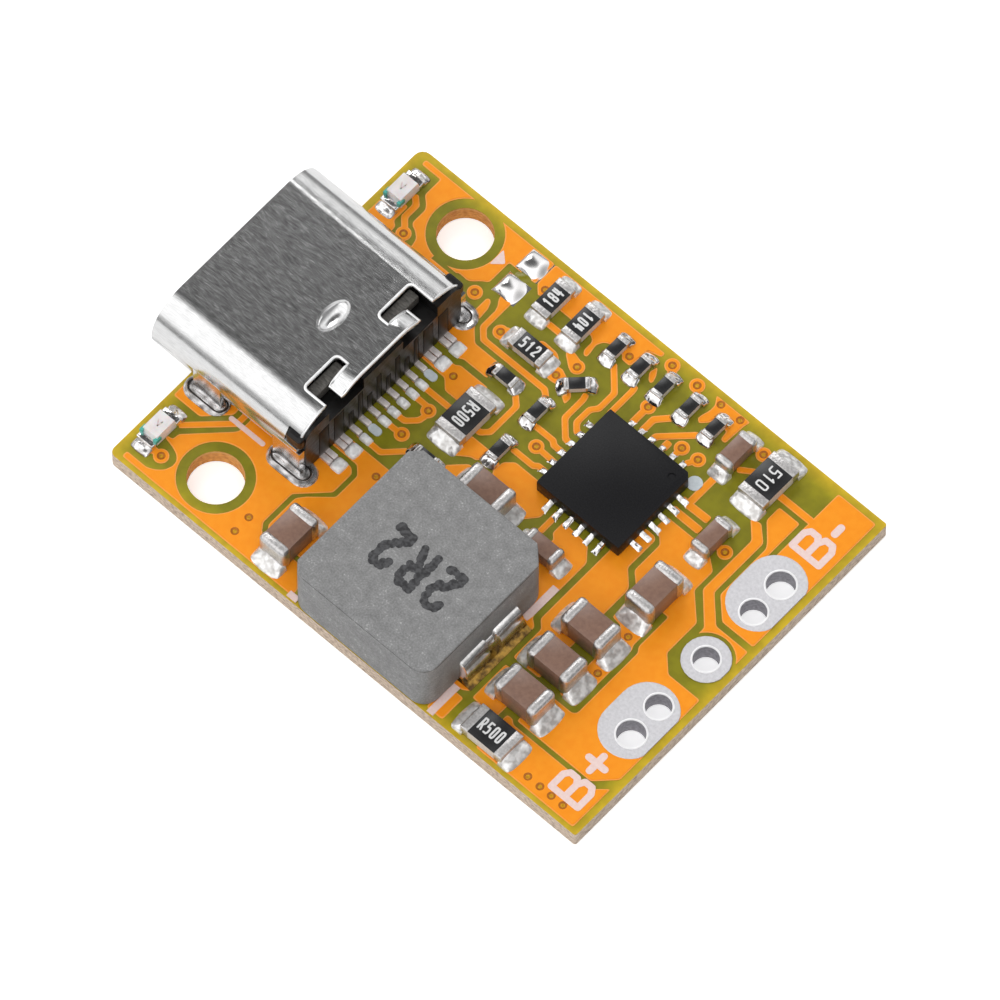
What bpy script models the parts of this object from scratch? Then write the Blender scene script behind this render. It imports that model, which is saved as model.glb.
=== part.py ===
"""Lithium battery charger module: a small board with a type-C socket, a controller and its parts.

The origin is at the centre of the board's underside. +X runs from the socket to the wire holes, +Y across
the board and +Z up. Sizes are in millimetres here, and the finished meshes are in metres.
"""

import math

import bmesh
import bpy
from mathutils import Matrix

MM = 0.001

# Board
BOARD_LENGTH = 22.85
BOARD_WIDTH = 16.85
BOARD_THICKNESS = 0.8
UPPER_LEFT_CORNER_RADIUS = 0.4
LOWER_LEFT_CORNER_RADIUS = 0.25
RIGHT_CORNER_RADIUS = 0.1
MOUNTING_HOLE_DIAMETER = 2.15
MOUNTING_HOLE_FROM_LEFT = 3.575
UPPER_HOLE_FROM_TOP = 1.565
LOWER_HOLE_FROM_BOTTOM = 1.845

# Tinned copper
PLATE_THICKNESS = 0.05
BARREL_WALL = 0.05
SEAT_GAP = 0.02

# Wire holes for the battery
WIRE_HOLE_LARGE = 1.1
WIRE_HOLE_SMALL = 1.0
WIRE_PAD_WIDTH = 2.4
WIRE_PAD_LENGTH = 3.34
CENTRE_PAD_DIAMETER = 1.89
WIRE_PAD_FROM_RIGHT = 1.375
WIRE_HOLE_FROM_RIGHT = 1.215
WIRE_PAD_EDGE_MARGIN = 0.3
WIRE_ROW_Y = -0.04
WIRE_PAD_PITCH = 3.445
WIRE_HOLE_PITCH = 1.475
WIRE_HOLE_SHIFT = 0.145

# Socket shell
SOCKET_Y = -0.02
SOCKET_OVERHANG = 1.525
SHELL_LENGTH = 7.15
SHELL_WIDTH = 8.94
SHELL_HEIGHT = 3.16
SHELL_WALL = 0.3
SHELL_LIFT = 0.02
NOTCH_DEPTH = 1.1
NOTCH_INNER = 1.07
NOTCH_OUTER = 2.89
NOTCH_CORNER = 0.2
TONGUE_WIDTH = 0.62
TONGUE_INSET = 0.08
TONGUE_BEND_RADIUS = 1.7
TONGUE_BEND_DEG = 38
TONGUE_BEND_STEPS = 6
DIMPLE_FROM_REAR = 2.25
DIMPLE_HALF_LENGTH = 0.44
DIMPLE_HALF_WIDTH = 0.8
DIMPLE_DEPTH = 0.33
DIMPLE_RISE = 0.01
EAR_LENGTH = 0.6
EAR_LOW = 1.9
EAR_HIGH = 2.55
EAR_HALF_WIDTH = 4.42
EAR_BEVEL = 0.12
LEG_LENGTH = 1.32
REAR_LEG_FROM_REAR = 0.5
FRONT_LEG_FROM_REAR = 4.42
LEG_TIP_LIFT = 0.04
LEG_TIP_CHAMFER = 0.18
LEG_OVERLAP = 0.1
LEG_GAP = 0.03
SLOT_LENGTH = 1.75
SLOT_WIDTH = 0.6
REAR_SLOT_SHIFT = 0.1
FRONT_SLOT_SHIFT = -0.08
LEG_PAD_WIDTH = 1.11
REAR_LEG_PAD_LENGTH = 2.21
REAR_LEG_PAD_SHIFT = 0.155
FRONT_LEG_PAD_LENGTH = 2.0
FRONT_LEG_PAD_SHIFT = -0.115
LEG_PAD_STEPS = 5
LEG_SOLDER_HEIGHT = 0.45

# Socket insert and contacts
INSERT_CLEARANCE = 0.02
INSERT_DEPTH = 0.95
FLANGE_THICKNESS = 0.19
FLANGE_LOW = 0.1
FLANGE_HIGH = 2.85
FLANGE_HALF_WIDTH = 4.17
FLANGE_CORNER = 0.5
POCKET_FLOOR = 2.2
COLLAR_LENGTH = 0.9
COLLAR_HEIGHT = 1.3
MOUTH_TONGUE_LENGTH = 3.85
MOUTH_TONGUE_WIDTH = 6.69
MOUTH_TONGUE_HEIGHT = 0.7
MOUTH_TONGUE_TIP = 0.15
MOUTH_TONGUE_ROOT = 0.2
SIGNAL_CONTACTS = 8
CONTACT_PITCH = 0.5
CONTACT_WIDTH = 0.23
SUPPLY_CONTACT_WIDTH = 0.5
SUPPLY_CONTACT_Y = 2.4
GROUND_CONTACT_Y = 3.2
GROUND_STRIP_INSET = 0.2
SUPPLY_STRIP_WIDTH = 0.3
CONTACT_THICKNESS = 0.12
CONTACT_PROUD = 0.05
STRIP_WIDTH = 0.2
STRIP_THICKNESS = 0.07
STRIP_SETBACK = 0.2
RISER_ABOVE_STRIP = 0.03
TAIL_REACH = 0.44
TAIL_HEIGHT = 0.17
TAIL_BEND = 0.12
TAIL_BEND_MIDDLE = 0.036
TAIL_SOLDER_REACH = 0.94
TAIL_SOLDER_HEIGHT = 0.24
TAIL_SOLDER_CREST = 0.15
TAIL_SOLDER_TOE = 0.12
TAIL_TOE_HEIGHT = 0.19

# Power inductor
INDUCTOR_LENGTH = 6.62
INDUCTOR_WIDTH = 6.75
INDUCTOR_HEIGHT = 2.85
INDUCTOR_X = 0.82
INDUCTOR_FROM_BOTTOM = 3.37
INDUCTOR_LIFT = 0.1
INDUCTOR_CHAMFER = 0.4
INDUCTOR_KEY_CHAMFER = 0.65
INDUCTOR_EDGE = 0.1
STRAP_WIDTH = 3.15
STRAP_THICKNESS = 0.18
STRAP_HEIGHT = 1.3
STRAP_FOOT = 1.5
STRAP_NOTCH_RADIUS = 0.33
LAND_REACH = 0.44
LAND_WIDTH = 3.3
LAND_FILLET_HEIGHT = 0.4
LAND_FILLET_MIDDLE = (0.2, 0.14)

# Charge controller
CHIP_SIDE = 4.0
CHIP_HEIGHT = 0.75
CHIP_LIFT = 0.05
CHIP_X = 3.09
CHIP_Y = 2.87
CHIP_KEY_CHAMFER = 0.2
LEAD_PITCH = 0.5
LEADS_PER_SIDE = 6
LEAD_WIDTH = 0.26
LEAD_REACH = 0.5
LEAD_UNDER = 0.4
LEAD_HEIGHT = 0.22
LEAD_FILLET_MIDDLE = (0.15, 0.11)
THERMAL_PAD_SIDE = 2.6

# Chip parts: length, width, height, end cap, span and width of the lands, height of the solder
SMALL_RESISTOR = (1.0, 0.5, 0.34, 0.22, 1.62, 0.62, 0.2)
MIDDLE_RESISTOR = (1.6, 0.8, 0.45, 0.3, 2.38, 0.95, 0.3)
LARGE_RESISTOR = (2.0, 1.25, 0.55, 0.38, 3.0, 1.4, 0.35)
MIDDLE_CAPACITOR = (1.6, 0.8, 0.8, 0.36, 2.4, 0.86, 0.45)
LARGE_CAPACITOR = (2.0, 1.25, 1.25, 0.46, 3.0, 1.4, 0.6)
LED_BASE = (1.6, 0.8, 0.32, 0.32, 2.35, 0.84, 0.2)
CAP_PROUD = 0.02
CAPACITOR_EDGE = 0.06
SOLDER_ROOT_SHARE = 0.8
SOLDER_WAIST_SHARE = 0.45
SOLDER_SHOULDER_SHARE = 0.1
SMALL_ROW_FROM_TOP = 1.39
MIDDLE_ROW_FROM_TOP = 1.495
LARGE_RESISTOR_FROM_TOP = 1.725
LARGE_RESISTOR_FROM_BOTTOM = 0.885
MIDDLE_CAPACITOR_FROM_TOP = 1.705
LARGE_CAPACITOR_FROM_BOTTOM = 1.695
CAPACITOR_COLUMN_FROM_RIGHT = 4.915
MIDDLE_CAPACITOR_FROM_INDUCTOR = 0.8
LARGE_CAPACITOR_FROM_INDUCTOR = 0.98
LED_FROM_LEFT = 0.755
UPPER_LED_FROM_TOP = 1.895
LOWER_LED_FROM_BOTTOM = 1.855
LENS_LENGTH = 1.06
LENS_WIDTH = 0.78
LENS_HEIGHT = 0.3
LENS_TAPER = 0.88

# Spare tinned pads beside the upper mounting hole
SPARE_PAD_LENGTH = 1.07
SPARE_PAD_WIDTH = 1.02
SPARE_PAD_HEIGHT = 0.2
SPARE_PAD_EDGE = 0.15
SPARE_PAD_X = -5.09
SPARE_PAD_FROM_TOP = 0.825
SPARE_PAD_PITCH = 1.27

# Places worked out from the sizes above
LEFT = -BOARD_LENGTH / 2
RIGHT = BOARD_LENGTH / 2
BOTTOM = -BOARD_WIDTH / 2
TOP = BOARD_WIDTH / 2
DECK = BOARD_THICKNESS
HOLE_X = LEFT + MOUNTING_HOLE_FROM_LEFT
SHELL_FRONT = LEFT - SOCKET_OVERHANG
SHELL_REAR = SHELL_FRONT + SHELL_LENGTH
SHELL_RADIUS = SHELL_HEIGHT / 2
SHELL_MIDDLE = DECK + SHELL_LIFT + SHELL_RADIUS
SHELL_TOP = SHELL_MIDDLE + SHELL_RADIUS
LEG_Y = SHELL_WIDTH / 2 - SHELL_WALL / 2
INSERT_REAR = SHELL_REAR + INSERT_CLEARANCE + FLANGE_THICKNESS
INSERT_FRONT = INSERT_REAR - FLANGE_THICKNESS - INSERT_DEPTH
INDUCTOR_Y = BOTTOM + INDUCTOR_FROM_BOTTOM
INDUCTOR_RIGHT = INDUCTOR_X + INDUCTOR_LENGTH / 2
INDUCTOR_UPPER = INDUCTOR_Y + INDUCTOR_WIDTH / 2
CAPACITOR_COLUMN_X = RIGHT - CAPACITOR_COLUMN_FROM_RIGHT

# Each chip part: its name, the middle of its place and how far it is turned
RESISTORS = {
    SMALL_RESISTOR: (
        ("0402_1", -0.57, TOP - SMALL_ROW_FROM_TOP, 90),
        ("0402_2", 0.59, TOP - SMALL_ROW_FROM_TOP, 90),
        ("0402_3", 1.76, TOP - SMALL_ROW_FROM_TOP, 90),
        ("0402_4", 3.01, TOP - SMALL_ROW_FROM_TOP, 90),
        ("0402_5", 4.25, TOP - SMALL_ROW_FROM_TOP, 90),
        ("0402_6", -0.99, 3.2, 90),
        ("0402_7", -0.96, 1.12, 90),
        ("0402_8", -2.77, 3.46, 0),
        ("0402_9", -0.64, 4.98, 45),
        ("0402_10", -2.72, -0.93, 0),
    ),
    MIDDLE_RESISTOR: (
        ("0603_1", -3.58, TOP - MIDDLE_ROW_FROM_TOP, 90),
        ("0603_2", -2.11, TOP - MIDDLE_ROW_FROM_TOP, 90),
        ("0603_3", -2.85, 4.88, 0),
    ),
    LARGE_RESISTOR: (
        ("0805_1", 7.18, TOP - LARGE_RESISTOR_FROM_TOP, 90),
        ("0805_2", -2.72, 1.25, 90),
        ("0805_3", 6.57, BOTTOM + LARGE_RESISTOR_FROM_BOTTOM, 0),
    ),
}
CAPACITORS = {
    MIDDLE_CAPACITOR: (
        ("0603_1", 5.56, TOP - MIDDLE_CAPACITOR_FROM_TOP, 90),
        ("0603_2", 7.21, 3.57, 90),
        ("0603_3", 3.0, INDUCTOR_UPPER + MIDDLE_CAPACITOR_FROM_INDUCTOR, 0),
    ),
    LARGE_CAPACITOR: (
        ("0805_1", 7.23, 0.45, 90),
        ("0805_2", CAPACITOR_COLUMN_X, -2.17, 0),
        ("0805_3", CAPACITOR_COLUMN_X, -3.98, 0),
        ("0805_4", CAPACITOR_COLUMN_X, -5.73, 0),
        ("0805_5", 0.06, INDUCTOR_UPPER + LARGE_CAPACITOR_FROM_INDUCTOR, 0),
        ("0805_6", -4.09, BOTTOM + LARGE_CAPACITOR_FROM_BOTTOM, 90),
    ),
}

# How far a cutting solid runs past the part that it cuts
OVERRUN = 1.0


def clear_scene():
    for thing in list(bpy.data.objects):
        bpy.data.objects.remove(thing, do_unlink=True)


def new_collection(name):
    group = bpy.data.collections.new(name)
    bpy.context.scene.collection.children.link(group)
    return group


def surface(name, colour, roughness, metallic=0.0):
    """A plain finish: its colour is given as eight-bit red, green and blue."""
    finish = bpy.data.materials.new(name)
    finish.use_nodes = True
    shader = finish.node_tree.nodes["Principled BSDF"]
    linear = [(value / 255) ** 2.2 for value in colour]
    shader.inputs["Base Color"].default_value = (*linear, 1.0)
    shader.inputs["Roughness"].default_value = roughness
    shader.inputs["Metallic"].default_value = metallic
    return finish


def arc(centre_x, centre_y, radius, start_deg, end_deg, steps):
    """Points along an arc, both ends included."""
    points = []
    for i in range(steps + 1):
        angle = math.radians(start_deg + (end_deg - start_deg) * i / steps)
        points.append((centre_x + radius * math.cos(angle), centre_y + radius * math.sin(angle)))
    return points


def circle(centre_x, centre_y, diameter, sides=24):
    return arc(centre_x, centre_y, diameter / 2, 0, 360, sides)[:-1]


def round_cornered(low_x, high_x, low_y, high_y, radii, steps=4):
    """The outline of a rectangle, with the radius of each corner from the upper right one anticlockwise."""
    corners = ((high_x, high_y, -1, -1, 0), (low_x, high_y, 1, -1, 90),
               (low_x, low_y, 1, 1, 180), (high_x, low_y, -1, 1, 270))
    points = []
    for (x, y, inward_x, inward_y, start), radius in zip(corners, radii):
        points += arc(x + inward_x * radius, y + inward_y * radius, radius, start, start + 90, steps)
    return points


def rounded(low_x, high_x, low_y, high_y, radius):
    """The outline of a rectangle with four equal round corners."""
    return round_cornered(low_x, high_x, low_y, high_y, (radius, radius, radius, radius))


def stadium(centre_x, centre_y, length_x, length_y, steps=8):
    """Two half circles joined by straight sides, along whichever side is longer."""
    radius = min(length_x, length_y) / 2
    reach_x = length_x / 2 - radius
    reach_y = length_y / 2 - radius
    if reach_x > reach_y:
        right = arc(centre_x + reach_x, centre_y, radius, -90, 90, 2 * steps)
        left = arc(centre_x - reach_x, centre_y, radius, 90, 270, 2 * steps)
        return right + left
    upper = arc(centre_x, centre_y + reach_y, radius, 0, 180, 2 * steps)
    lower = arc(centre_x, centre_y - reach_y, radius, 180, 360, 2 * steps)
    return upper + lower


def work_object(mesh):
    thing = bpy.data.objects.new("work", mesh)
    workbench.objects.link(thing)
    return thing


def evaluated_mesh(thing):
    bpy.context.view_layer.update()
    graph = bpy.context.evaluated_depsgraph_get()
    return bpy.data.meshes.new_from_object(thing.evaluated_get(graph))


def slab(outline, low, high, holes=()):
    """A flat outline, with its holes, filled and extruded from one height to another."""
    drawing = bpy.data.curves.new("outline", "CURVE")
    drawing.dimensions = "2D"
    drawing.fill_mode = "BOTH"
    drawing.extrude = (high - low) / 2
    for ring in (outline, *holes):
        spline = drawing.splines.new("POLY")
        spline.points.add(len(ring) - 1)
        for point, (x, y) in zip(spline.points, ring):
            point.co = (x, y, 0, 1)
        spline.use_cyclic_u = True
    sketch = bpy.data.objects.new("outline", drawing)
    workbench.objects.link(sketch)
    mesh = evaluated_mesh(sketch)
    bpy.data.objects.remove(sketch)
    solid = bmesh.new()
    solid.from_mesh(mesh)
    bmesh.ops.remove_doubles(solid, verts=solid.verts, dist=0.0001)
    bmesh.ops.translate(solid, verts=solid.verts, vec=(0, 0, (low + high) / 2))
    bmesh.ops.recalc_face_normals(solid, faces=solid.faces)
    solid.to_mesh(mesh)
    solid.free()
    return work_object(mesh)


def along_x(outline, start, end, holes=()):
    """An outline drawn across the board, as Y and Z, extruded along X."""
    thing = slab(outline, start, end, holes)
    thing.data.transform(Matrix(((0, 0, 1, 0), (1, 0, 0, 0), (0, 1, 0, 0), (0, 0, 0, 1))))
    return thing


def along_y(outline, start, end):
    """A profile drawn as X and Z, extruded along Y."""
    thing = slab(outline, -end, -start)
    thing.data.transform(Matrix.Rotation(math.radians(90), 4, "X"))
    return thing


def block(low, high, edge=0.0, top_only=False):
    """A box between two corners, its edges bevelled by the given width."""
    solid = bmesh.new()
    bmesh.ops.create_cube(solid, size=1)
    size = [b - a for a, b in zip(low, high)]
    middle = [(a + b) / 2 for a, b in zip(low, high)]
    bmesh.ops.scale(solid, verts=solid.verts, vec=size)
    bmesh.ops.translate(solid, verts=solid.verts, vec=middle)
    if edge:
        chosen = [e for e in solid.edges if not top_only or min(v.co.z for v in e.verts) > middle[2]]
        if top_only:
            chosen += [e for e in solid.edges if e.verts[0].co.z != e.verts[1].co.z]
        bmesh.ops.bevel(solid, geom=chosen, offset=edge, segments=2, profile=0.5, affect="EDGES")
    mesh = bpy.data.meshes.new("block")
    solid.to_mesh(mesh)
    solid.free()
    return work_object(mesh)


def half_dome(centre, half_sizes):
    """The lower half of an ellipsoid, closed flat on top."""
    solid = bmesh.new()
    bmesh.ops.create_uvsphere(solid, u_segments=20, v_segments=10, radius=1)
    whole = solid.verts[:] + solid.edges[:] + solid.faces[:]
    cut = bmesh.ops.bisect_plane(solid, geom=whole, plane_co=(0, 0, 0), plane_no=(0, 0, 1), clear_outer=True)
    rim = [item for item in cut["geom_cut"] if isinstance(item, bmesh.types.BMEdge)]
    bmesh.ops.contextual_create(solid, geom=rim)
    bmesh.ops.scale(solid, verts=solid.verts, vec=half_sizes)
    bmesh.ops.translate(solid, verts=solid.verts, vec=centre)
    bmesh.ops.recalc_face_normals(solid, faces=solid.faces)
    mesh = bpy.data.meshes.new("dome")
    solid.to_mesh(mesh)
    solid.free()
    return work_object(mesh)


def combine(base, others, operation, solver="EXACT"):
    """The base joined with, or cut by, each of the other solids."""
    for other in others:
        step = base.modifiers.new("step", "BOOLEAN")
        step.operation = operation
        step.solver = solver
        step.object = other
    mesh = evaluated_mesh(base)
    base.modifiers.clear()
    base.data = mesh
    for other in others:
        bpy.data.objects.remove(other)
    return base


def joined(base, *others):
    return combine(base, others, "UNION")


def cut(base, *others):
    return combine(base, others, "DIFFERENCE")


def finished(thing, finish):
    """The mesh of a work object, turned to metres and shaded, with its finish."""
    mesh = thing.data
    bpy.data.objects.remove(thing)
    mesh.transform(Matrix.Scale(MM, 4))
    mesh.materials.clear()
    mesh.materials.append(finish)
    mesh.shade_smooth()
    mesh.set_sharp_from_angle(angle=math.radians(35))
    return mesh


def place(name, mesh, x=0.0, y=0.0, z=0.0, turn=0.0):
    """One named piece of the module, at a place in millimetres and turned about the vertical."""
    piece = bpy.data.objects.new(name, mesh)
    mesh.name = name
    piece.location = (x * MM, y * MM, z * MM)
    piece.rotation_euler = (0, 0, math.radians(turn))
    module.objects.link(piece)
    return piece


def wire_pads():
    """Outline and wire holes of each battery pad, from the top one down."""
    pad_x = RIGHT - WIRE_PAD_FROM_RIGHT
    hole_x = RIGHT - WIRE_HOLE_FROM_RIGHT
    limit = RIGHT - WIRE_PAD_EDGE_MARGIN
    pads = []
    for name, step, large_hole in (("negative", 1, 1), ("centre", 0, 0), ("positive", -1, -1)):
        middle = WIRE_ROW_Y + step * WIRE_PAD_PITCH
        if step:
            outline = stadium(pad_x, middle, WIRE_PAD_WIDTH, WIRE_PAD_LENGTH)
            pair_middle = middle - step * WIRE_HOLE_SHIFT
            offset = large_hole * WIRE_HOLE_PITCH / 2
            holes = [
                (hole_x, pair_middle + offset, WIRE_HOLE_LARGE),
                (hole_x, pair_middle - offset, WIRE_HOLE_SMALL),
            ]
        else:
            outline = circle(hole_x, middle, CENTRE_PAD_DIAMETER)
            holes = [(hole_x, middle, WIRE_HOLE_SMALL)]
        flat_sided = [(min(x, limit), y) for x, y in outline]
        pads.append((f"battery_{name}_terminal", flat_sided, holes))
    return pads


def leg_slots():
    """Name, leg's middle, slot and pad outline of each place where a leg of the shell passes the board."""
    places = []
    for end, from_rear, slot_shift, pad_shift, pad_length in (
        ("rear", REAR_LEG_FROM_REAR, REAR_SLOT_SHIFT, REAR_LEG_PAD_SHIFT, REAR_LEG_PAD_LENGTH),
        ("front", FRONT_LEG_FROM_REAR, FRONT_SLOT_SHIFT, FRONT_LEG_PAD_SHIFT, FRONT_LEG_PAD_LENGTH),
    ):
        for side_name, side in (("upper", 1), ("lower", -1)):
            x = SHELL_REAR - from_rear
            y = SOCKET_Y + side * LEG_Y
            pad = stadium(x + pad_shift, y, pad_length, LEG_PAD_WIDTH, LEG_PAD_STEPS)
            places.append((f"leg_eyelet_{end}_{side_name}", (x, y), x + slot_shift, pad))
    return places


def leg_slot(x, y, margin):
    """The outline of a leg's slot, widened all round by a margin."""
    return stadium(x, y, SLOT_LENGTH + 2 * margin, SLOT_WIDTH + 2 * margin, LEG_PAD_STEPS)


def grown(outline, amount):
    """An outline moved outwards by an amount, from its own middle."""
    xs = [x for x, _ in outline]
    ys = [y for _, y in outline]
    middle_x = (min(xs) + max(xs)) / 2
    middle_y = (min(ys) + max(ys)) / 2
    scale_x = 1 + 2 * amount / (max(xs) - min(xs))
    scale_y = 1 + 2 * amount / (max(ys) - min(ys))
    return [(middle_x + (x - middle_x) * scale_x, middle_y + (y - middle_y) * scale_y) for x, y in outline]


def make_board():
    margin = BARREL_WALL + SEAT_GAP
    holes = [
        circle(HOLE_X, TOP - UPPER_HOLE_FROM_TOP, MOUNTING_HOLE_DIAMETER, 40),
        circle(HOLE_X, BOTTOM + LOWER_HOLE_FROM_BOTTOM, MOUNTING_HOLE_DIAMETER, 40),
    ]
    recesses = []
    for _, outline, wire_holes in wire_pads():
        holes += [circle(x, y, diameter + 2 * margin) for x, y, diameter in wire_holes]
        recesses.append(outline)
    for _, (_, y), slot_x, pad in leg_slots():
        holes.append(leg_slot(slot_x, y, margin))
        recesses.append(pad)
    radii = (RIGHT_CORNER_RADIUS, UPPER_LEFT_CORNER_RADIUS, LOWER_LEFT_CORNER_RADIUS, RIGHT_CORNER_RADIUS)
    plate = slab(round_cornered(LEFT, RIGHT, BOTTOM, TOP, radii), 0, DECK, holes)
    depth = PLATE_THICKNESS + SEAT_GAP
    cutters = [slab(grown(outline, SEAT_GAP), -depth, depth) for outline in recesses]
    # The exact solver leaves slivers where so many round edges cross one flat face.
    board = combine(plate, cutters, "DIFFERENCE", "MANIFOLD")
    place("circuit_board", finished(board, surface("orange coated laminate", (246, 148, 40), 0.4)))


def eyelet(outline, barrels, bores):
    """A pad on both faces of the board, joined by plated barrels and then drilled through."""
    upper = slab(outline, DECK, DECK + PLATE_THICKNESS)
    lower = slab(outline, 0, PLATE_THICKNESS)
    posts = [slab(ring, PLATE_THICKNESS / 2, DECK + PLATE_THICKNESS / 2) for ring in barrels]
    return cut(joined(upper, lower, *posts), *bores)


def make_wire_pads():
    tin = surface("tinned copper", (205, 206, 208), 0.35, 1.0)
    for name, outline, holes in wire_pads():
        barrels = [circle(x, y, diameter + 2 * BARREL_WALL) for x, y, diameter in holes]
        bores = [slab(circle(x, y, diameter), -OVERRUN, DECK + OVERRUN) for x, y, diameter in holes]
        place(name, finished(eyelet(outline, barrels, bores), tin))


def make_leg_eyelets():
    solder = surface("solder round the legs", (196, 198, 201), 0.3, 1.0)
    half_length = LEG_LENGTH / 2 + LEG_GAP
    half_width = SHELL_WALL / 2 + LEG_GAP
    for name, (x, y), slot_x, pad in leg_slots():
        barrel = leg_slot(slot_x, y, BARREL_WALL)
        open_slot = slab(leg_slot(slot_x, y, 0), LEG_SOLDER_HEIGHT, DECK + OVERRUN)
        leg_hole = block((x - half_length, y - half_width, -OVERRUN),
                         (x + half_length, y + half_width, DECK + OVERRUN))
        place(name, finished(eyelet(pad, [barrel], [open_slot, leg_hole]), solder))


def bent_tongue(side):
    """Section of a tongue of the shell's top, bent down and outwards from the middle land."""
    start = NOTCH_INNER
    hinge_z = SHELL_TOP - TONGUE_BEND_RADIUS
    end_deg = 90 - TONGUE_BEND_DEG
    upper = arc(start, hinge_z, TONGUE_BEND_RADIUS, 90, end_deg, TONGUE_BEND_STEPS)
    under = arc(start, hinge_z, TONGUE_BEND_RADIUS - SHELL_WALL, end_deg, 90, TONGUE_BEND_STEPS)
    root = [(start - SHELL_WALL / 2, SHELL_TOP - SHELL_WALL), (start - SHELL_WALL / 2, SHELL_TOP)]
    return [(SOCKET_Y + side * y, z) for y, z in upper + under + root]


def leg_profile(middle_x):
    """A leg seen from the side, with its tip chamfered."""
    low = LEG_TIP_LIFT
    front = middle_x - LEG_LENGTH / 2
    back = middle_x + LEG_LENGTH / 2
    tip = [(front, low + LEG_TIP_CHAMFER), (front + LEG_TIP_CHAMFER, low)]
    tip += [(back - LEG_TIP_CHAMFER, low), (back, low + LEG_TIP_CHAMFER)]
    shoulder = SHELL_MIDDLE + LEG_OVERLAP
    return tip + [(back, shoulder), (front, shoulder)]


def make_shell():
    outer = stadium(SOCKET_Y, SHELL_MIDDLE, SHELL_WIDTH, SHELL_HEIGHT)
    inner = stadium(SOCKET_Y, SHELL_MIDDLE, SHELL_WIDTH - 2 * SHELL_WALL, SHELL_HEIGHT - 2 * SHELL_WALL)
    tube = along_x(outer, SHELL_FRONT, SHELL_REAR, [inner])
    beyond = SHELL_REAR + OVERRUN
    notch_front = SHELL_REAR - NOTCH_DEPTH
    dimple_x = SHELL_REAR - DIMPLE_FROM_REAR
    cutters = []
    legs = []
    for side in (1, -1):
        sides = sorted((SOCKET_Y + side * NOTCH_INNER, SOCKET_Y + side * NOTCH_OUTER))
        notch = rounded(notch_front, beyond, *sides, NOTCH_CORNER)
        cutters.append(slab(notch, SHELL_TOP - 2 * SHELL_WALL, SHELL_TOP + OVERRUN))
        ear = sorted((SOCKET_Y + side * (NOTCH_OUTER + SHELL_RADIUS / 2), SOCKET_Y + side * SHELL_WIDTH))
        ear_window = rounded(SHELL_REAR - EAR_LENGTH - SEAT_GAP, beyond, *ear, NOTCH_CORNER)
        cutters.append(slab(ear_window, DECK + EAR_LOW - SEAT_GAP, DECK + EAR_HIGH + SEAT_GAP))
        leg_window = sorted((SOCKET_Y + side * NOTCH_OUTER, SOCKET_Y + side * SHELL_WIDTH))
        for from_rear in (REAR_LEG_FROM_REAR, FRONT_LEG_FROM_REAR):
            middle = SHELL_REAR - from_rear
            half = LEG_LENGTH / 2 + 2 * LEG_GAP
            low = (middle - half, leg_window[0], DECK - OVERRUN)
            high = (middle + half, leg_window[1], SHELL_MIDDLE)
            cutters.append(block(low, high))
            y = SOCKET_Y + side * LEG_Y
            legs.append(along_y(leg_profile(middle), y - SHELL_WALL / 2, y + SHELL_WALL / 2))
    shell = cut(tube, *cutters)
    tongue_rear = SHELL_REAR + TONGUE_INSET
    tongues = [along_x(bent_tongue(side), tongue_rear - TONGUE_WIDTH, tongue_rear) for side in (1, -1)]
    sizes = (DIMPLE_HALF_LENGTH, DIMPLE_HALF_WIDTH, DIMPLE_DEPTH)
    bulge_sizes = [size + SHELL_WALL / 2 for size in sizes]
    bulge = half_dome((dimple_x, SOCKET_Y, SHELL_TOP - SHELL_WALL / 2), bulge_sizes)
    shell = joined(shell, *tongues, *legs, bulge)
    hollow = half_dome((dimple_x, SOCKET_Y, SHELL_TOP + DIMPLE_RISE), sizes)
    steel = surface("brushed nickel-plated steel", (188, 189, 191), 0.3, 1.0)
    place("socket_shell", finished(cut(shell, hollow), steel))


def contact_rows():
    """Each contact: its middle, width, strip's middle and width, and the faces of the tongue it serves."""
    rows = []
    for side in (1, -1):
        strip = side * (GROUND_CONTACT_Y - GROUND_STRIP_INSET)
        rows.append((side * GROUND_CONTACT_Y, SUPPLY_CONTACT_WIDTH, strip, SUPPLY_STRIP_WIDTH, (1, -1)))
        rows.append((side * SUPPLY_CONTACT_Y, SUPPLY_CONTACT_WIDTH, side * SUPPLY_CONTACT_Y,
                     SUPPLY_STRIP_WIDTH, (1, -1)))
    for index in range(SIGNAL_CONTACTS):
        y = (index - (SIGNAL_CONTACTS - 1) / 2) * CONTACT_PITCH
        rows.append((y, CONTACT_WIDTH, y, STRIP_WIDTH, (1 if index % 2 else -1,)))
    return sorted(rows)


def strip_box(y, width, face, start, end, gap):
    """A contact strip on one face of the tongue, or with a gap, the room for it."""
    near = SHELL_MIDDLE + face * MOUTH_TONGUE_HEIGHT / 2
    far = near + face * (STRIP_THICKNESS + gap)
    low = (start, SOCKET_Y + y - width / 2 - gap, min(near, far))
    high = (end, SOCKET_Y + y + width / 2 + gap, max(near, far))
    return block(low, high)


def riser_top(faces):
    """The top of a contact's upright, just above the highest strip that it carries."""
    strip_top = MOUTH_TONGUE_HEIGHT / 2 + STRIP_THICKNESS if 1 in faces else -MOUTH_TONGUE_HEIGHT / 2
    return SHELL_MIDDLE + strip_top + RISER_ABOVE_STRIP


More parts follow.
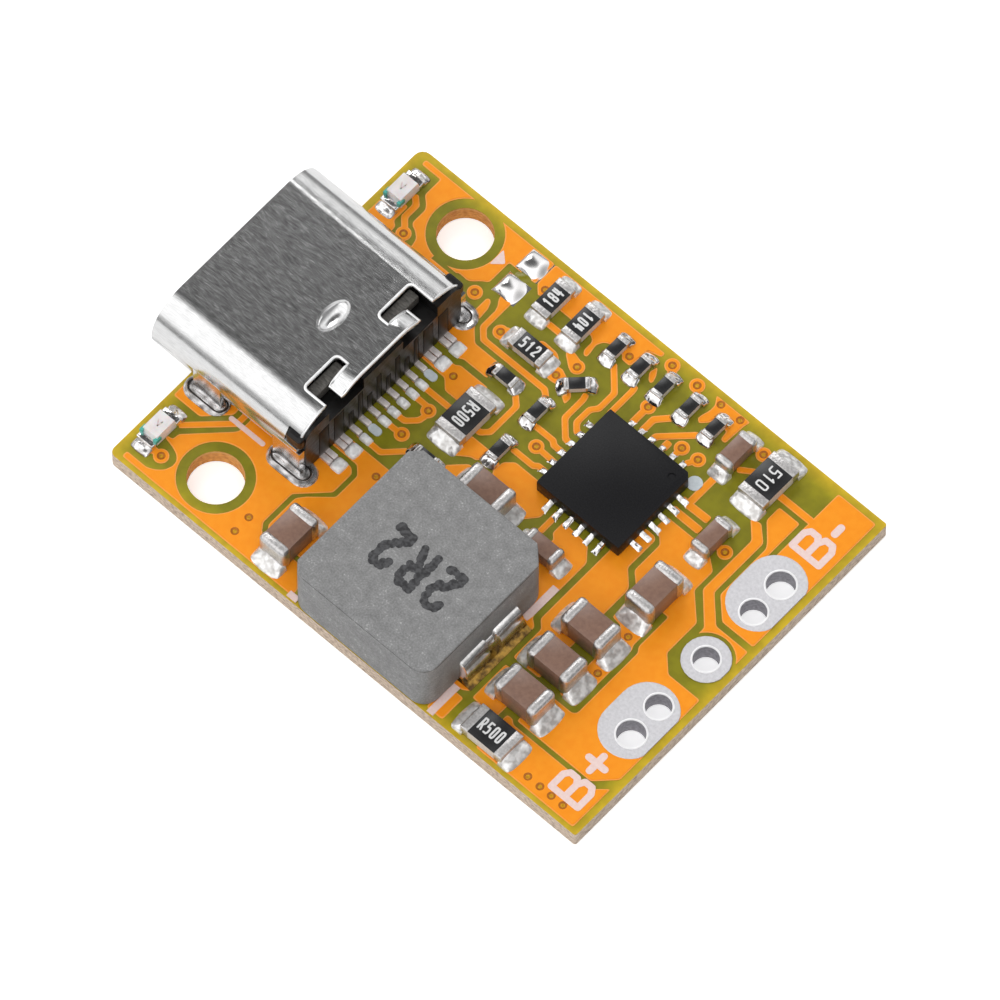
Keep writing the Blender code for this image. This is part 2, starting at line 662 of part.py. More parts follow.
def make_insert():
    fit = SHELL_WALL + INSERT_CLEARANCE
    core = stadium(SOCKET_Y, SHELL_MIDDLE, SHELL_WIDTH - 2 * fit, SHELL_HEIGHT - 2 * fit)
    flange_face = SHELL_REAR + INSERT_CLEARANCE
    insert = along_x(core, INSERT_FRONT, flange_face + FLANGE_THICKNESS / 2)
    flange = rounded(SOCKET_Y - FLANGE_HALF_WIDTH, SOCKET_Y + FLANGE_HALF_WIDTH,
                     DECK + FLANGE_LOW, DECK + FLANGE_HIGH, FLANGE_CORNER)
    tongue_tip = INSERT_FRONT - COLLAR_LENGTH - MOUTH_TONGUE_LENGTH
    half_tongue = MOUTH_TONGUE_HEIGHT / 2
    half_collar = COLLAR_HEIGHT / 2
    inside = INSERT_FRONT + MOUTH_TONGUE_ROOT
    tongue = [
        (inside, SHELL_MIDDLE - half_collar),
        (inside, SHELL_MIDDLE + half_collar),
        (INSERT_FRONT - COLLAR_LENGTH, SHELL_MIDDLE + half_collar),
        (INSERT_FRONT - COLLAR_LENGTH, SHELL_MIDDLE + half_tongue),
        (tongue_tip + MOUTH_TONGUE_TIP, SHELL_MIDDLE + half_tongue),
        (tongue_tip, SHELL_MIDDLE + half_tongue - MOUTH_TONGUE_TIP),
        (tongue_tip, SHELL_MIDDLE - half_tongue + MOUTH_TONGUE_TIP),
        (tongue_tip + MOUTH_TONGUE_TIP, SHELL_MIDDLE - half_tongue),
        (INSERT_FRONT - COLLAR_LENGTH, SHELL_MIDDLE - half_tongue),
        (INSERT_FRONT - COLLAR_LENGTH, SHELL_MIDDLE - half_collar),
    ]
    half_width = MOUTH_TONGUE_WIDTH / 2
    parts = [
        along_x(flange, flange_face, INSERT_REAR),
        along_y(tongue, SOCKET_Y - half_width, SOCKET_Y + half_width),
    ]
    for side in (1, -1):
        span = sorted((SOCKET_Y + side * (NOTCH_OUTER + SHELL_RADIUS / 2 + SEAT_GAP),
                       SOCKET_Y + side * EAR_HALF_WIDTH))
        low = (SHELL_REAR - EAR_LENGTH, span[0], DECK + EAR_LOW)
        high = (INSERT_REAR - FLANGE_THICKNESS / 4, span[1], DECK + EAR_HIGH)
        parts.append(block(low, high, EAR_BEVEL))
    insert = joined(insert, *parts)
    cutters = []
    for side in (1, -1):
        span = sorted((SOCKET_Y + side * (NOTCH_INNER - SEAT_GAP),
                       SOCKET_Y + side * (NOTCH_OUTER + SEAT_GAP)))
        low = (SHELL_REAR - NOTCH_DEPTH - OVERRUN, span[0], DECK + POCKET_FLOOR)
        high = (INSERT_REAR + OVERRUN, span[1], SHELL_TOP + OVERRUN)
        cutters.append(block(low, high))
    groove_floor = INSERT_REAR + CONTACT_PROUD - CONTACT_THICKNESS - SEAT_GAP
    for y, width, strip_y, strip_width, faces in contact_rows():
        half = width / 2 + SEAT_GAP
        low = (groove_floor, SOCKET_Y + y - half, DECK - OVERRUN)
        high = (INSERT_REAR + OVERRUN, SOCKET_Y + y + half, riser_top(faces) + SEAT_GAP)
        cutters.append(block(low, high))
        room_start = INSERT_FRONT - COLLAR_LENGTH - SEAT_GAP
        room_end = groove_floor + SEAT_GAP
        for face in faces:
            cutters.append(strip_box(strip_y, strip_width, face, room_start, room_end, SEAT_GAP))
    black = surface("black moulded polymer", (38, 35, 33), 0.5)
    # The rooms for the strips share planes with the tongue, which the exact solver leaves open.
    place("socket_insert", finished(combine(insert, cutters, "DIFFERENCE", "MANIFOLD"), black))


def make_contacts():
    gold = surface("tin-plated contact strip", (206, 200, 196), 0.3, 1.0)
    outer = INSERT_REAR + CONTACT_PROUD
    inner = outer - CONTACT_THICKNESS
    strip_end = INSERT_FRONT - COLLAR_LENGTH - MOUTH_TONGUE_LENGTH + MOUTH_TONGUE_TIP + STRIP_SETBACK
    tail = outer + TAIL_REACH
    solder = outer + TAIL_SOLDER_REACH
    for number, (y, width, strip_y, strip_width, faces) in enumerate(contact_rows(), 1):
        top = riser_top(faces)
        profile = [
            (solder, DECK),
            (solder, DECK + PLATE_THICKNESS),
            (solder - TAIL_SOLDER_TOE, DECK + TAIL_TOE_HEIGHT),
            (tail + TAIL_SOLDER_CREST, DECK + TAIL_SOLDER_HEIGHT),
            (tail, DECK + TAIL_HEIGHT),
            (outer + TAIL_BEND, DECK + TAIL_HEIGHT),
            (outer + TAIL_BEND_MIDDLE, DECK + TAIL_HEIGHT + TAIL_BEND_MIDDLE),
            (outer, DECK + TAIL_HEIGHT + TAIL_BEND),
            (outer, top),
            (inner, top),
            (inner, DECK + PLATE_THICKNESS),
            (inner + PLATE_THICKNESS, DECK),
        ]
        contact = along_y(profile, SOCKET_Y + y - width / 2, SOCKET_Y + y + width / 2)
        strips = [strip_box(strip_y, strip_width, face, strip_end, (inner + outer) / 2, 0) for face in faces]
        place(f"socket_contact_{number:02d}", finished(joined(contact, *strips), gold))


def make_inductor():
    left = INDUCTOR_X - INDUCTOR_LENGTH / 2
    lower = INDUCTOR_Y - INDUCTOR_WIDTH / 2
    corners = (
        (INDUCTOR_RIGHT, INDUCTOR_UPPER, INDUCTOR_KEY_CHAMFER, -1, -1),
        (left, INDUCTOR_UPPER, INDUCTOR_CHAMFER, 1, -1),
        (left, lower, INDUCTOR_CHAMFER, 1, 1),
        (INDUCTOR_RIGHT, lower, INDUCTOR_CHAMFER, -1, 1),
    )
    outline = []
    for index, (x, y, chamfer, inward_x, inward_y) in enumerate(corners):
        pair = [(x, y + inward_y * chamfer), (x + inward_x * chamfer, y)]
        outline += pair if index % 2 == 0 else pair[::-1]
    low = DECK + INDUCTOR_LIFT
    high = DECK + INDUCTOR_HEIGHT
    core = slab(outline, low, high)
    solid = bmesh.new()
    solid.from_mesh(core.data)
    rim = [edge for edge in solid.edges if min(v.co.z for v in edge.verts) > high - INDUCTOR_EDGE
           and any(abs(face.normal.z) < 0.5 for face in edge.link_faces)]
    bmesh.ops.bevel(solid, geom=rim, offset=INDUCTOR_EDGE, segments=2, profile=0.5, affect="EDGES")
    solid.to_mesh(core.data)
    solid.free()
    strap_low = DECK + PLATE_THICKNESS
    foot_top = strap_low + STRAP_THICKNESS
    half_strap = STRAP_WIDTH / 2
    half_land = LAND_WIDTH / 2
    tin = surface("tinned strap", (200, 200, 202), 0.3, 1.0)
    solder = surface("solder on the strap's land", (196, 197, 199), 0.3, 1.0)
    pockets = []
    for name, side in (("right", 1), ("left", -1)):
        face = INDUCTOR_LENGTH / 2 + SEAT_GAP
        outer = face + STRAP_THICKNESS
        foot = face - STRAP_FOOT
        strap = [(foot, strap_low), (outer, strap_low), (outer, DECK + STRAP_HEIGHT),
                 (face, DECK + STRAP_HEIGHT), (face, foot_top), (foot, foot_top)]
        reach = outer + LAND_REACH
        land = [(foot, DECK), (reach, DECK), (reach, DECK + PLATE_THICKNESS),
                (outer + LAND_FILLET_MIDDLE[0], DECK + LAND_FILLET_MIDDLE[1]),
                (outer + SEAT_GAP, DECK + LAND_FILLET_HEIGHT),
                (outer + SEAT_GAP, strap_low), (foot, strap_low)]
        strap, land = ([(INDUCTOR_X + side * x, z) for x, z in profile] for profile in (strap, land))
        plate = along_y(strap, INDUCTOR_Y - half_strap, INDUCTOR_Y + half_strap)
        notch_ends = sorted((INDUCTOR_X + side * (face - OVERRUN), INDUCTOR_X + side * (face + OVERRUN)))
        notch = along_x(circle(INDUCTOR_Y, DECK + STRAP_HEIGHT, 2 * STRAP_NOTCH_RADIUS, 16), *notch_ends)
        place(f"inductor_terminal_{name}", finished(cut(plate, notch), tin))
        fillet = along_y(land, INDUCTOR_Y - half_land, INDUCTOR_Y + half_land)
        place(f"inductor_land_{name}", finished(fillet, solder))
        span = sorted((INDUCTOR_X + side * (foot - SEAT_GAP), INDUCTOR_X + side * (outer + OVERRUN)))
        pockets.append(block((span[0], INDUCTOR_Y - half_strap - SEAT_GAP, DECK),
                             (span[1], INDUCTOR_Y + half_strap + SEAT_GAP, foot_top + SEAT_GAP)))
    grey = surface("pressed iron-powder core", (142, 142, 142), 0.6)
    place("inductor_core", finished(cut(core, *pockets), grey))


def make_controller():
    half = CHIP_SIDE / 2
    key = CHIP_KEY_CHAMFER
    outline = [(-half, -half), (half, -half), (half, half - key), (half - key, half), (-half, half)]
    body = slab(outline, CHIP_LIFT, CHIP_HEIGHT)
    pad = THERMAL_PAD_SIDE / 2
    parts = [block((-pad, -pad, 0), (pad, pad, 2 * CHIP_LIFT))]
    lead = [(half + LEAD_REACH, 0), (half + LEAD_REACH, PLATE_THICKNESS),
            (half + LEAD_FILLET_MIDDLE[0], LEAD_FILLET_MIDDLE[1]),
            (half + SEAT_GAP, LEAD_HEIGHT), (half - LEAD_UNDER, LEAD_HEIGHT), (half - LEAD_UNDER, 0)]
    for quarter in range(4):
        for index in range(LEADS_PER_SIDE):
            y = (index - (LEADS_PER_SIDE - 1) / 2) * LEAD_PITCH
            foot = along_y(lead, y - LEAD_WIDTH / 2, y + LEAD_WIDTH / 2)
            foot.data.transform(Matrix.Rotation(math.radians(90 * quarter), 4, "Z"))
            parts.append(foot)
    black = surface("black moulded epoxy", (44, 44, 48), 0.55)
    place("charge_controller", finished(joined(body, *parts), black), CHIP_X, CHIP_Y, DECK)


def chip_solid(sizes, edge=0.0):
    """A chip part on its two lands: body, end caps and solder, with its middle at the origin."""
    length, width, height, cap_length, span, land_width, solder_height = sizes
    half = length / 2
    half_width = width / 2
    half_land = land_width / 2
    lift = PLATE_THICKNESS
    body = block((-half + CAP_PROUD, -half_width + CAP_PROUD, lift + CAP_PROUD),
                 (half - CAP_PROUD, half_width - CAP_PROUD, height - CAP_PROUD))
    parts = []
    for side in (1, -1):
        ends = sorted((side * (half - cap_length), side * half))
        parts.append(block((ends[0], -half_width, lift / 2), (ends[1], half_width, height), edge))
        root = half - cap_length * SOLDER_ROOT_SHARE
        reach = span / 2
        waist = half + SOLDER_WAIST_SHARE * (reach - half)
        shoulder = half + SOLDER_SHOULDER_SHARE * (reach - half)
        fillet = [(root, 0), (reach, 0), (reach, lift), (waist, SOLDER_WAIST_SHARE * solder_height),
                  (shoulder, solder_height), (root, solder_height)]
        fillet = [(side * x, z) for x, z in fillet]
        parts.append(along_y(fillet, -half_land, half_land))
    return joined(body, *parts)


def make_chip_parts():
    black = surface("black glazed resistor", (30, 30, 32), 0.35)
    taupe = surface("taupe ceramic capacitor", (140, 114, 101), 0.4)
    for kind, table, finish, edge in (
        ("resistor", RESISTORS, black, 0.0),
        ("capacitor", CAPACITORS, taupe, CAPACITOR_EDGE),
    ):
        for sizes, places in table.items():
            mesh = finished(chip_solid(sizes, edge), finish)
            for name, x, y, turn in places:
                place(f"{kind}_{name}", mesh, x, y, DECK, turn)


def make_leds():
    white = surface("white laminate with tinned ends", (222, 222, 220), 0.4)
    base_mesh = finished(chip_solid(LED_BASE), white)
    half_length = LENS_LENGTH / 2
    half_width = LENS_WIDTH / 2
    lens = block((-half_length, -half_width, 0), (half_length, half_width, LENS_HEIGHT))
    for vertex in lens.data.vertices:
        if vertex.co.z > 0:
            vertex.co.x *= LENS_TAPER
            vertex.co.y *= LENS_TAPER
    lens_mesh = finished(lens, surface("milky epoxy lens", (238, 238, 236), 0.25))
    x = LEFT + LED_FROM_LEFT
    base_top = LED_BASE[2] - CAP_PROUD
    for name, y in (("upper", TOP - UPPER_LED_FROM_TOP), ("lower", BOTTOM + LOWER_LED_FROM_BOTTOM)):
        place(f"indicator_{name}_base", base_mesh, x, y, DECK, 90)
        place(f"indicator_{name}_lens", lens_mesh, x, y, DECK + base_top, 90)


def make_spare_pads():
    half_x = SPARE_PAD_LENGTH / 2
    half_y = SPARE_PAD_WIDTH / 2
    cushion = block((-half_x, -half_y, 0), (half_x, half_y, SPARE_PAD_HEIGHT), SPARE_PAD_EDGE, top_only=True)
    mesh = finished(cushion, surface("solder cushion", (200, 202, 205), 0.25, 1.0))
    for index, name in enumerate(("upper", "lower")):
        y = TOP - SPARE_PAD_FROM_TOP - index * SPARE_PAD_PITCH
        place(f"spare_pad_{name}", mesh, SPARE_PAD_X, y, DECK)


clear_scene()
module = new_collection("battery_charger_module")
workbench = new_collection("workbench")
make_board()
make_wire_pads()
make_leg_eyelets()
make_shell()
make_insert()
make_contacts()
make_inductor()
make_controller()
make_chip_parts()
make_leds()
make_spare_pads()
bpy.data.collections.remove(workbench)
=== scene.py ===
"""Looks of the lithium battery charger module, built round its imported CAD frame.

Shapes are drawn in millimetres in the frame's own axes: +X from the socket to the wire holes, +Y across the
board, +Z up from the board's underside. Each finished mesh is turned to metres before it rides on the frame.
"""

import math

import bmesh
import bpy
from mathutils import Matrix, Vector, noise


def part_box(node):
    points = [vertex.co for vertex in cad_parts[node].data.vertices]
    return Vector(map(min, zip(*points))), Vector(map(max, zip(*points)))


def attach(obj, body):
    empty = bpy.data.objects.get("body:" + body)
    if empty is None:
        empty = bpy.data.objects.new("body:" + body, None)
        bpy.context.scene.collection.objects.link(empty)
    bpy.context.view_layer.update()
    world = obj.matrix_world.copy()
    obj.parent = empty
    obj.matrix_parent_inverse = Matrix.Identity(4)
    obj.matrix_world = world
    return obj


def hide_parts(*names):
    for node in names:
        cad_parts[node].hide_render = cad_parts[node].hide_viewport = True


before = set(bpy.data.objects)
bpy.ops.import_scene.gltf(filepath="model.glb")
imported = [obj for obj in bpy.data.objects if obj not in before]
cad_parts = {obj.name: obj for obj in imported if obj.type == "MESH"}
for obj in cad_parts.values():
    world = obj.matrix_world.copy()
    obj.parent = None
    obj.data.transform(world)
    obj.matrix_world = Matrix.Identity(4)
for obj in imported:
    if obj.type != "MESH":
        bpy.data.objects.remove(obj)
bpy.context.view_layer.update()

MM = 0.001
BODY = "root"


def box_mm(node):
    low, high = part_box(node)
    return low / MM, high / MM


def middle_of(node):
    low, high = box_mm(node)
    return (low.x + high.x) / 2, (low.y + high.y) / 2


BOARD_LOW, BOARD_HIGH = box_mm("circuit_board")
DECK = BOARD_HIGH.z
# Thickness of the copper, how far it stays off the board's edge, and how far its edges slope.
COPPER = 0.035
COPPER_MARGIN = 0.28
EDGE_SLOPE = 0.045
PRINT_THICKNESS = 0.012
HOLE_X = -7.85
HOLE_UPPER_Y = 6.86
HOLE_LOWER_Y = -6.58
HOLE_CLEARANCE = 1.46
SOCKET_Y = -0.02
SHELL_TOP = box_mm("socket_shell")[1].z
CORE_TOP = box_mm("inductor_core")[1].z


def arc(x, y, radius, start_deg, end_deg, steps=6):
    points = []
    for i in range(steps + 1):
        angle = math.radians(start_deg + (end_deg - start_deg) * i / steps)
        points.append((x + radius * math.cos(angle), y + radius * math.sin(angle)))
    return points


def circle(x, y, radius, sides=24):
    return arc(x, y, radius, 0, 360, sides)[:-1]


def rectangle(low_x, high_x, low_y, high_y, radius=0.0, steps=3):
    if not radius:
        return [(low_x, low_y), (high_x, low_y), (high_x, high_y), (low_x, high_y)]
    points = []
    for x, y, start in ((high_x, high_y, 0), (low_x, high_y, 90), (low_x, low_y, 180), (high_x, low_y, 270)):
        inner_x = x - radius if x == high_x else x + radius
        inner_y = y - radius if y == high_y else y + radius
        points += arc(inner_x, inner_y, radius, start, start + 90, steps)
    return points


def moved_sideways(points, distance, closed):
    """A line moved to its left by a distance, with mitred corners."""
    count = len(points)
    result = []
    for i, point in enumerate(points):
        here = Vector(point)
        before = Vector(points[i - 1]) if closed or i else None
        after = Vector(points[(i + 1) % count]) if closed or i < count - 1 else None
        ways = [(here - before).normalized()] if before is not None else []
        ways += [(after - here).normalized()] if after is not None else []
        lefts = [Vector((-way.y, way.x)) for way in ways]
        middle = sum(lefts, Vector((0, 0))).normalized()
        stretch = 1 / max(middle.dot(lefts[0]), 0.5)
        result.append(tuple(here + middle * distance * stretch))
    return result


def turns_left(points):
    return sum(a[0] * b[1] - b[0] * a[1] for a, b in zip(points, points[1:] + points[:1])) > 0


def grown(outline, distance):
    """A closed outline moved outwards, or inwards for a negative distance."""
    return moved_sideways(outline, -distance if turns_left(outline) else distance, True)


def stroke(points, width):
    """The outline of a line of that width."""
    left = moved_sideways(points, width / 2, False)
    right = moved_sideways(points, -width / 2, False)
    return left + right[::-1]


def softened(outline, radius, steps=2):
    """An outline with each corner rounded off."""
    result = []
    count = len(outline)
    for i in range(count):
        here = Vector(outline[i])
        before = Vector(outline[i - 1]) - here
        after = Vector(outline[(i + 1) % count]) - here
        reach = min(radius, before.length * 0.45, after.length * 0.45)
        start = here + before.normalized() * reach
        end = here + after.normalized() * reach
        for k in range(steps + 1):
            t = k / steps
            result.append(tuple(start * (1 - t) ** 2 + here * 2 * t * (1 - t) + end * t ** 2))
    return result


def capsule(start, end, width, low, high):
    """A bar with round ends between two points of the board's plane."""
    heading = math.degrees(math.atan2(end[1] - start[1], end[0] - start[0]))
    outline = arc(*end, width / 2, heading - 90, heading + 90)
    outline += arc(*start, width / 2, heading + 90, heading + 270)
    return slab(outline, low, high)


def stadium(x, y, length, width, steps=8):
    """Two half circles joined by straight sides along X."""
    radius = width / 2
    reach = length / 2 - radius
    return arc(x + reach, y, radius, -90, 90, steps) + arc(x - reach, y, radius, 90, 270, steps)


def mesh_from(solid):
    mesh = bpy.data.meshes.new("work")
    solid.to_mesh(mesh)
    solid.free()
    return mesh


def slab(outline, low, high):
    """A flat outline extruded from one height to another."""
    solid = bmesh.new()
    if not turns_left(outline):
        outline = outline[::-1]
    face = solid.faces.new([solid.verts.new((x, y, low)) for x, y in outline])
    top = bmesh.ops.extrude_face_region(solid, geom=[face])
    raised = [item for item in top["geom"] if isinstance(item, bmesh.types.BMVert)]
    bmesh.ops.translate(solid, verts=raised, vec=(0, 0, high - low))
    bmesh.ops.recalc_face_normals(solid, faces=solid.faces)
    return mesh_from(solid)


def block(low, high, edge=0.0, segments=2):
    solid = bmesh.new()
    bmesh.ops.create_cube(solid, size=1)
    bmesh.ops.scale(solid, verts=solid.verts, vec=[b - a for a, b in zip(low, high)])
    bmesh.ops.translate(solid, verts=solid.verts, vec=[(a + b) / 2 for a, b in zip(low, high)])
    if edge:
        bmesh.ops.bevel(solid, geom=solid.edges[:], offset=edge, segments=segments, profile=0.5, affect="EDGES")
    return mesh_from(solid)


def lofted(loops, ring=False):
    """A closed solid through loops of points, each with as many points: capped at both ends, or a ring whose
    cross-section goes once round through the loops."""
    solid = bmesh.new()
    rings = [[solid.verts.new(point) for point in loop] for loop in loops]
    for lower, upper in zip(rings, rings[1:] + (rings[:1] if ring else [])):
        for i in range(len(lower)):
            j = (i + 1) % len(lower)
            solid.faces.new((lower[i], lower[j], upper[j], upper[i]))
    if not ring:
        solid.faces.new(rings[0])
        solid.faces.new(rings[-1])
    bmesh.ops.recalc_face_normals(solid, faces=solid.faces)
    return mesh_from(solid)


def level(outline, height, wobble=0.0, seed=0.0):
    """An outline lifted to a height, uneven by a wobble."""
    return [(x, y, height + wobble * noise.noise((x * 2.3, y * 2.3, seed))) for x, y in outline]


def mound(length, width, height_at, rows=16, columns=14, bow=None):
    """A closed cushion on the plane z = 0. Its height is a function of u and v, both from -1 to 1, and a function
    of u says how far the plan is rounded there, from 0 for square to 1 for a circle."""
    solid = bmesh.new()
    grid = []
    for i in range(rows + 1):
        u = math.sin(math.pi * (i / rows - 0.5))
        line = []
        for j in range(columns + 1):
            v = math.sin(math.pi * (j / columns - 0.5))
            rounded = bow(u) if bow else 0
            x = u * (1 - rounded * v * v / 2) ** 0.5 * length / 2
            y = v * (1 - rounded * u * u / 2) ** 0.5 * width / 2
            line.append(solid.verts.new((x, y, max(height_at(u, v), 0.004))))
        grid.append(line)
    for i in range(rows):
        for j in range(columns):
            solid.faces.new((grid[i][j], grid[i + 1][j], grid[i + 1][j + 1], grid[i][j + 1]))
    rim = [edge for edge in solid.edges if len(edge.link_faces) == 1]
    skirt = bmesh.ops.extrude_edge_only(solid, edges=rim)
    lowest = [item for item in skirt["geom"] if isinstance(item, bmesh.types.BMVert)]
    for vertex in lowest:
        vertex.co.z = 0
    floor_edges = [e for e in solid.edges if len(e.link_faces) == 1]
    bmesh.ops.contextual_create(solid, geom=floor_edges)
    bmesh.ops.recalc_face_normals(solid, faces=solid.faces)
    return mesh_from(solid)


def combined(base, others, operation):
    """The base mesh joined with, or cut by, each of the other meshes."""
    thing = bpy.data.objects.new("base", base)
    bpy.context.scene.collection.objects.link(thing)
    helpers = [thing]
    for other in others:
        helper = bpy.data.objects.new("other", other)
        bpy.context.scene.collection.objects.link(helper)
        helpers.append(helper)
        step = thing.modifiers.new("step", "BOOLEAN")
        step.operation = operation
        step.solver = "MANIFOLD"
        step.object = helper
    bpy.context.view_layer.update()
    graph = bpy.context.evaluated_depsgraph_get()
    result = bpy.data.meshes.new_from_object(thing.evaluated_get(graph))
    for helper in helpers:
        bpy.data.objects.remove(helper)
    return result


def put(mesh, x=0.0, y=0.0, z=0.0, turn=0.0):
    """The mesh turned about the vertical, then moved."""
    mesh.transform(Matrix.Translation((x, y, z)) @ Matrix.Rotation(math.radians(turn), 4, "Z"))
    return mesh


def piece(name, parts, replaced=(), smooth_deg=35):
    """One piece of the module from meshes with their materials, riding on the frame."""
    solid = bmesh.new()
    whole = bpy.data.meshes.new(name)
    finishes = []
    for mesh, finish in parts:
        if finish not in finishes:
            finishes.append(finish)
            whole.materials.append(finish)
        before = len(solid.faces)
        solid.from_mesh(mesh)
        solid.faces.ensure_lookup_table()
        for face in solid.faces[before:]:
            face.material_index = finishes.index(finish)
    solid.to_mesh(whole)
    solid.free()
    whole.transform(Matrix.Scale(MM, 4))
    whole.shade_smooth()
    whole.set_sharp_from_angle(angle=math.radians(smooth_deg))
    thing = bpy.data.objects.new(name, whole)
    bpy.context.scene.collection.objects.link(thing)
    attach(thing, BODY)
    if replaced:
        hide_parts(*replaced)
    return thing


def linear(colour):
    """An sRGB hex colour as linear red, green and blue."""
    values = [int(colour[i:i + 2], 16) / 255 for i in (1, 3, 5)]
    return [v / 12.92 if v <= 0.04045 else ((v + 0.055) / 1.055) ** 2.4 for v in values] + [1.0]


def wired(node, **links):
    """The node with its sockets set. Each is given a node, whose first output is linked, a socket, a number or a
    colour."""
    for key, value in links.items():
        socket = node.inputs[int(key[1:]) if key[0] == "i" and key[1:].isdigit() else key.replace("_", " ")]
        if isinstance(value, bpy.types.Node):
            value = value.outputs[0]
        if isinstance(value, bpy.types.NodeSocket):
            node.id_data.links.new(value, socket)
        else:
            socket.default_value = linear(value) if isinstance(value, str) else value
    return node


def add(tree, kind, settings=None, **links):
    """A node with its settings and links. The stops of a colour ramp are places and colours."""
    node = tree.nodes.new("ShaderNode" + kind)
    for key, value in (settings or {}).items():
        if key != "stops":
            setattr(node, key, value)
            continue
        points = node.color_ramp.elements
        while len(points) < len(value):
            points.new(0.5)
        for point, (at, colour) in zip(points, value):
            point.position = at
            point.color = linear(colour)
    return wired(node, **links)


def start(name, roughness, metallic=0.0, **sockets):
    """A new material, its node tree and its shader."""
    finish = bpy.data.materials.new(name)
    finish.use_nodes = True
    shader = finish.node_tree.nodes["Principled BSDF"]
    return finish, finish.node_tree, wired(shader, Roughness=roughness, Metallic=metallic, **sockets)


def speckle(tree, size_mm, detail=2.0, stretch=(1, 1, 1)):
    """Noise whose grains are about that many millimetres wide, in the object's own coordinates."""
    place = add(tree, "TexCoord").outputs["Object"]
    scaled = add(tree, "Mapping", Vector=place, Scale=stretch)
    return add(tree, "TexNoise", Vector=scaled, Scale=1 / (size_mm * MM), Detail=detail)


def level_face(tree, least):
    """1 where the upright part of the surface's normal is over a limit, and 0 on steeper faces."""
    facing = add(tree, "NewGeometry").outputs["Normal"]
    upright = add(tree, "Math", {"operation": "ABSOLUTE"}, i0=add(tree, "SeparateXYZ", Vector=facing).outputs["Z"])
    return add(tree, "Math", {"operation": "GREATER_THAN"}, i0=upright, i1=least)


def mottled(name, dark, pale, size_mm, roughness, metallic=0.0, bump_mm=0.0, stretch=(1, 1, 1), spread=0.2,
            detail=3.0, **sockets):
    """A finish of two close colours in soft blotches, with the same blotches as bump."""
    finish, tree, shader = start(name, roughness, metallic, **sockets)
    grain = speckle(tree, size_mm, detail, stretch)
    stops = ((0.5 - spread, dark), (0.5 + spread, pale))
    wired(shader, Base_Color=add(tree, "ValToRGB", {"stops": stops}, Fac=grain))
    if bump_mm:
        wired(shader, Normal=add(tree, "Bump", Height=grain, Distance=bump_mm * MM))
    return finish


MIXED = {"data_type": "RGBA"}
MULTIPLIED = {"data_type": "RGBA", "blend_type": "MULTIPLY"}
# How far the glow reaches in from the board's edges, and how softly it turns the corners.
GLOW_REACH = 1.1
GLOW_CORNER = 0.4
HOLE_WALL_REACH = 1.3
# Depth and half the width of the pale line of coating under a screw hole's rim.
COATING_LINE_DEPTH = 0.09
COATING_LINE_HALF = 0.02


def coated_board():
    """Glass-fibre laminate under a clear olive coating: the coating glows yellow near the board's edges, where
    light comes through the laminate, and the sawn sides and hole walls show the bare fibres."""
    finish, tree, shader = start("coated glass-fibre laminate", 0.3)
    place = add(tree, "TexCoord").outputs["Object"]
    split = add(tree, "SeparateXYZ", Vector=place)
    near = []
    for axis, half in (("X", BOARD_HIGH.x), ("Y", BOARD_HIGH.y)):
        away = add(tree, "Math", {"operation": "ABSOLUTE"}, i0=split.outputs[axis])
        near.append(add(tree, "Math", {"operation": "SUBTRACT"}, i0=half * MM, i1=away))
    edge = add(tree, "Math", {"operation": "SMOOTH_MIN"}, i0=near[0], i1=near[1], i2=GLOW_CORNER * MM)
    glow = add(tree, "MapRange", Value=edge, From_Max=GLOW_REACH * MM)
    tinted = add(tree, "ValToRGB", {"stops": (
        (0.0, "#D8B628"), (0.25, "#BEA61E"), (0.55, "#A09616"), (1.0, "#8B8512"))}, Fac=glow)
    clouds = add(tree, "ValToRGB", {"stops": ((0.35, "#E9E9E9"), (0.65, "#FFFFFF"))}, Fac=speckle(tree, 0.5))
    coat = add(tree, "Mix", MULTIPLIED, Factor=1.0, i6=tinted, i7=clouds)
    fibres = speckle(tree, 0.12, 4.0, (0.7, 0.7, 1.3))
    sawn = add(tree, "ValToRGB", {"stops": ((0.3, "#A08C7C"), (0.5, "#CDB9A6"), (0.7, "#E2D0BD"))}, Fac=fibres)
    drilled = add(tree, "ValToRGB", {"stops": ((0.3, "#C98440"), (0.7, "#F2B866"))}, Fac=fibres)
    insides = []
    for y in (HOLE_UPPER_Y, HOLE_LOWER_Y):
        middle = add(tree, "VectorMath", {"operation": "SUBTRACT"}, i0=place, i1=(HOLE_X * MM, y * MM, 0))
        flat = add(tree, "VectorMath", {"operation": "MULTIPLY"}, i0=middle, i1=(1, 1, 0))
        reach = add(tree, "VectorMath", {"operation": "LENGTH"}, i0=flat).outputs["Value"]
        insides.append(add(tree, "Math", {"operation": "LESS_THAN"}, i0=reach, i1=HOLE_WALL_REACH * MM))
    in_hole = add(tree, "Math", {"operation": "MAXIMUM"}, i0=insides[0], i1=insides[1])
    wall = add(tree, "Mix", MIXED, Factor=in_hole, i6=sawn, i7=drilled)
    line = add(tree, "Math", {"operation": "COMPARE"}, i0=split.outputs["Z"],
               i1=(DECK - COATING_LINE_DEPTH) * MM, i2=COATING_LINE_HALF * MM)
    lined = add(tree, "Math", {"operation": "MULTIPLY"}, i0=line, i1=in_hole)
    walls = add(tree, "Mix", MIXED, Factor=lined, i6=wall.outputs[2], i7="#E3BF86")
    flat_face = level_face(tree, 0.5)
    shown = add(tree, "Mix", MIXED, Factor=flat_face, i6=walls.outputs[2], i7=coat.outputs[2])
    rough = add(tree, "MapRange", Value=flat_face, To_Min=0.8, To_Max=0.28)
    wired(shader, Base_Color=shown.outputs[2], Roughness=rough)
    return finish


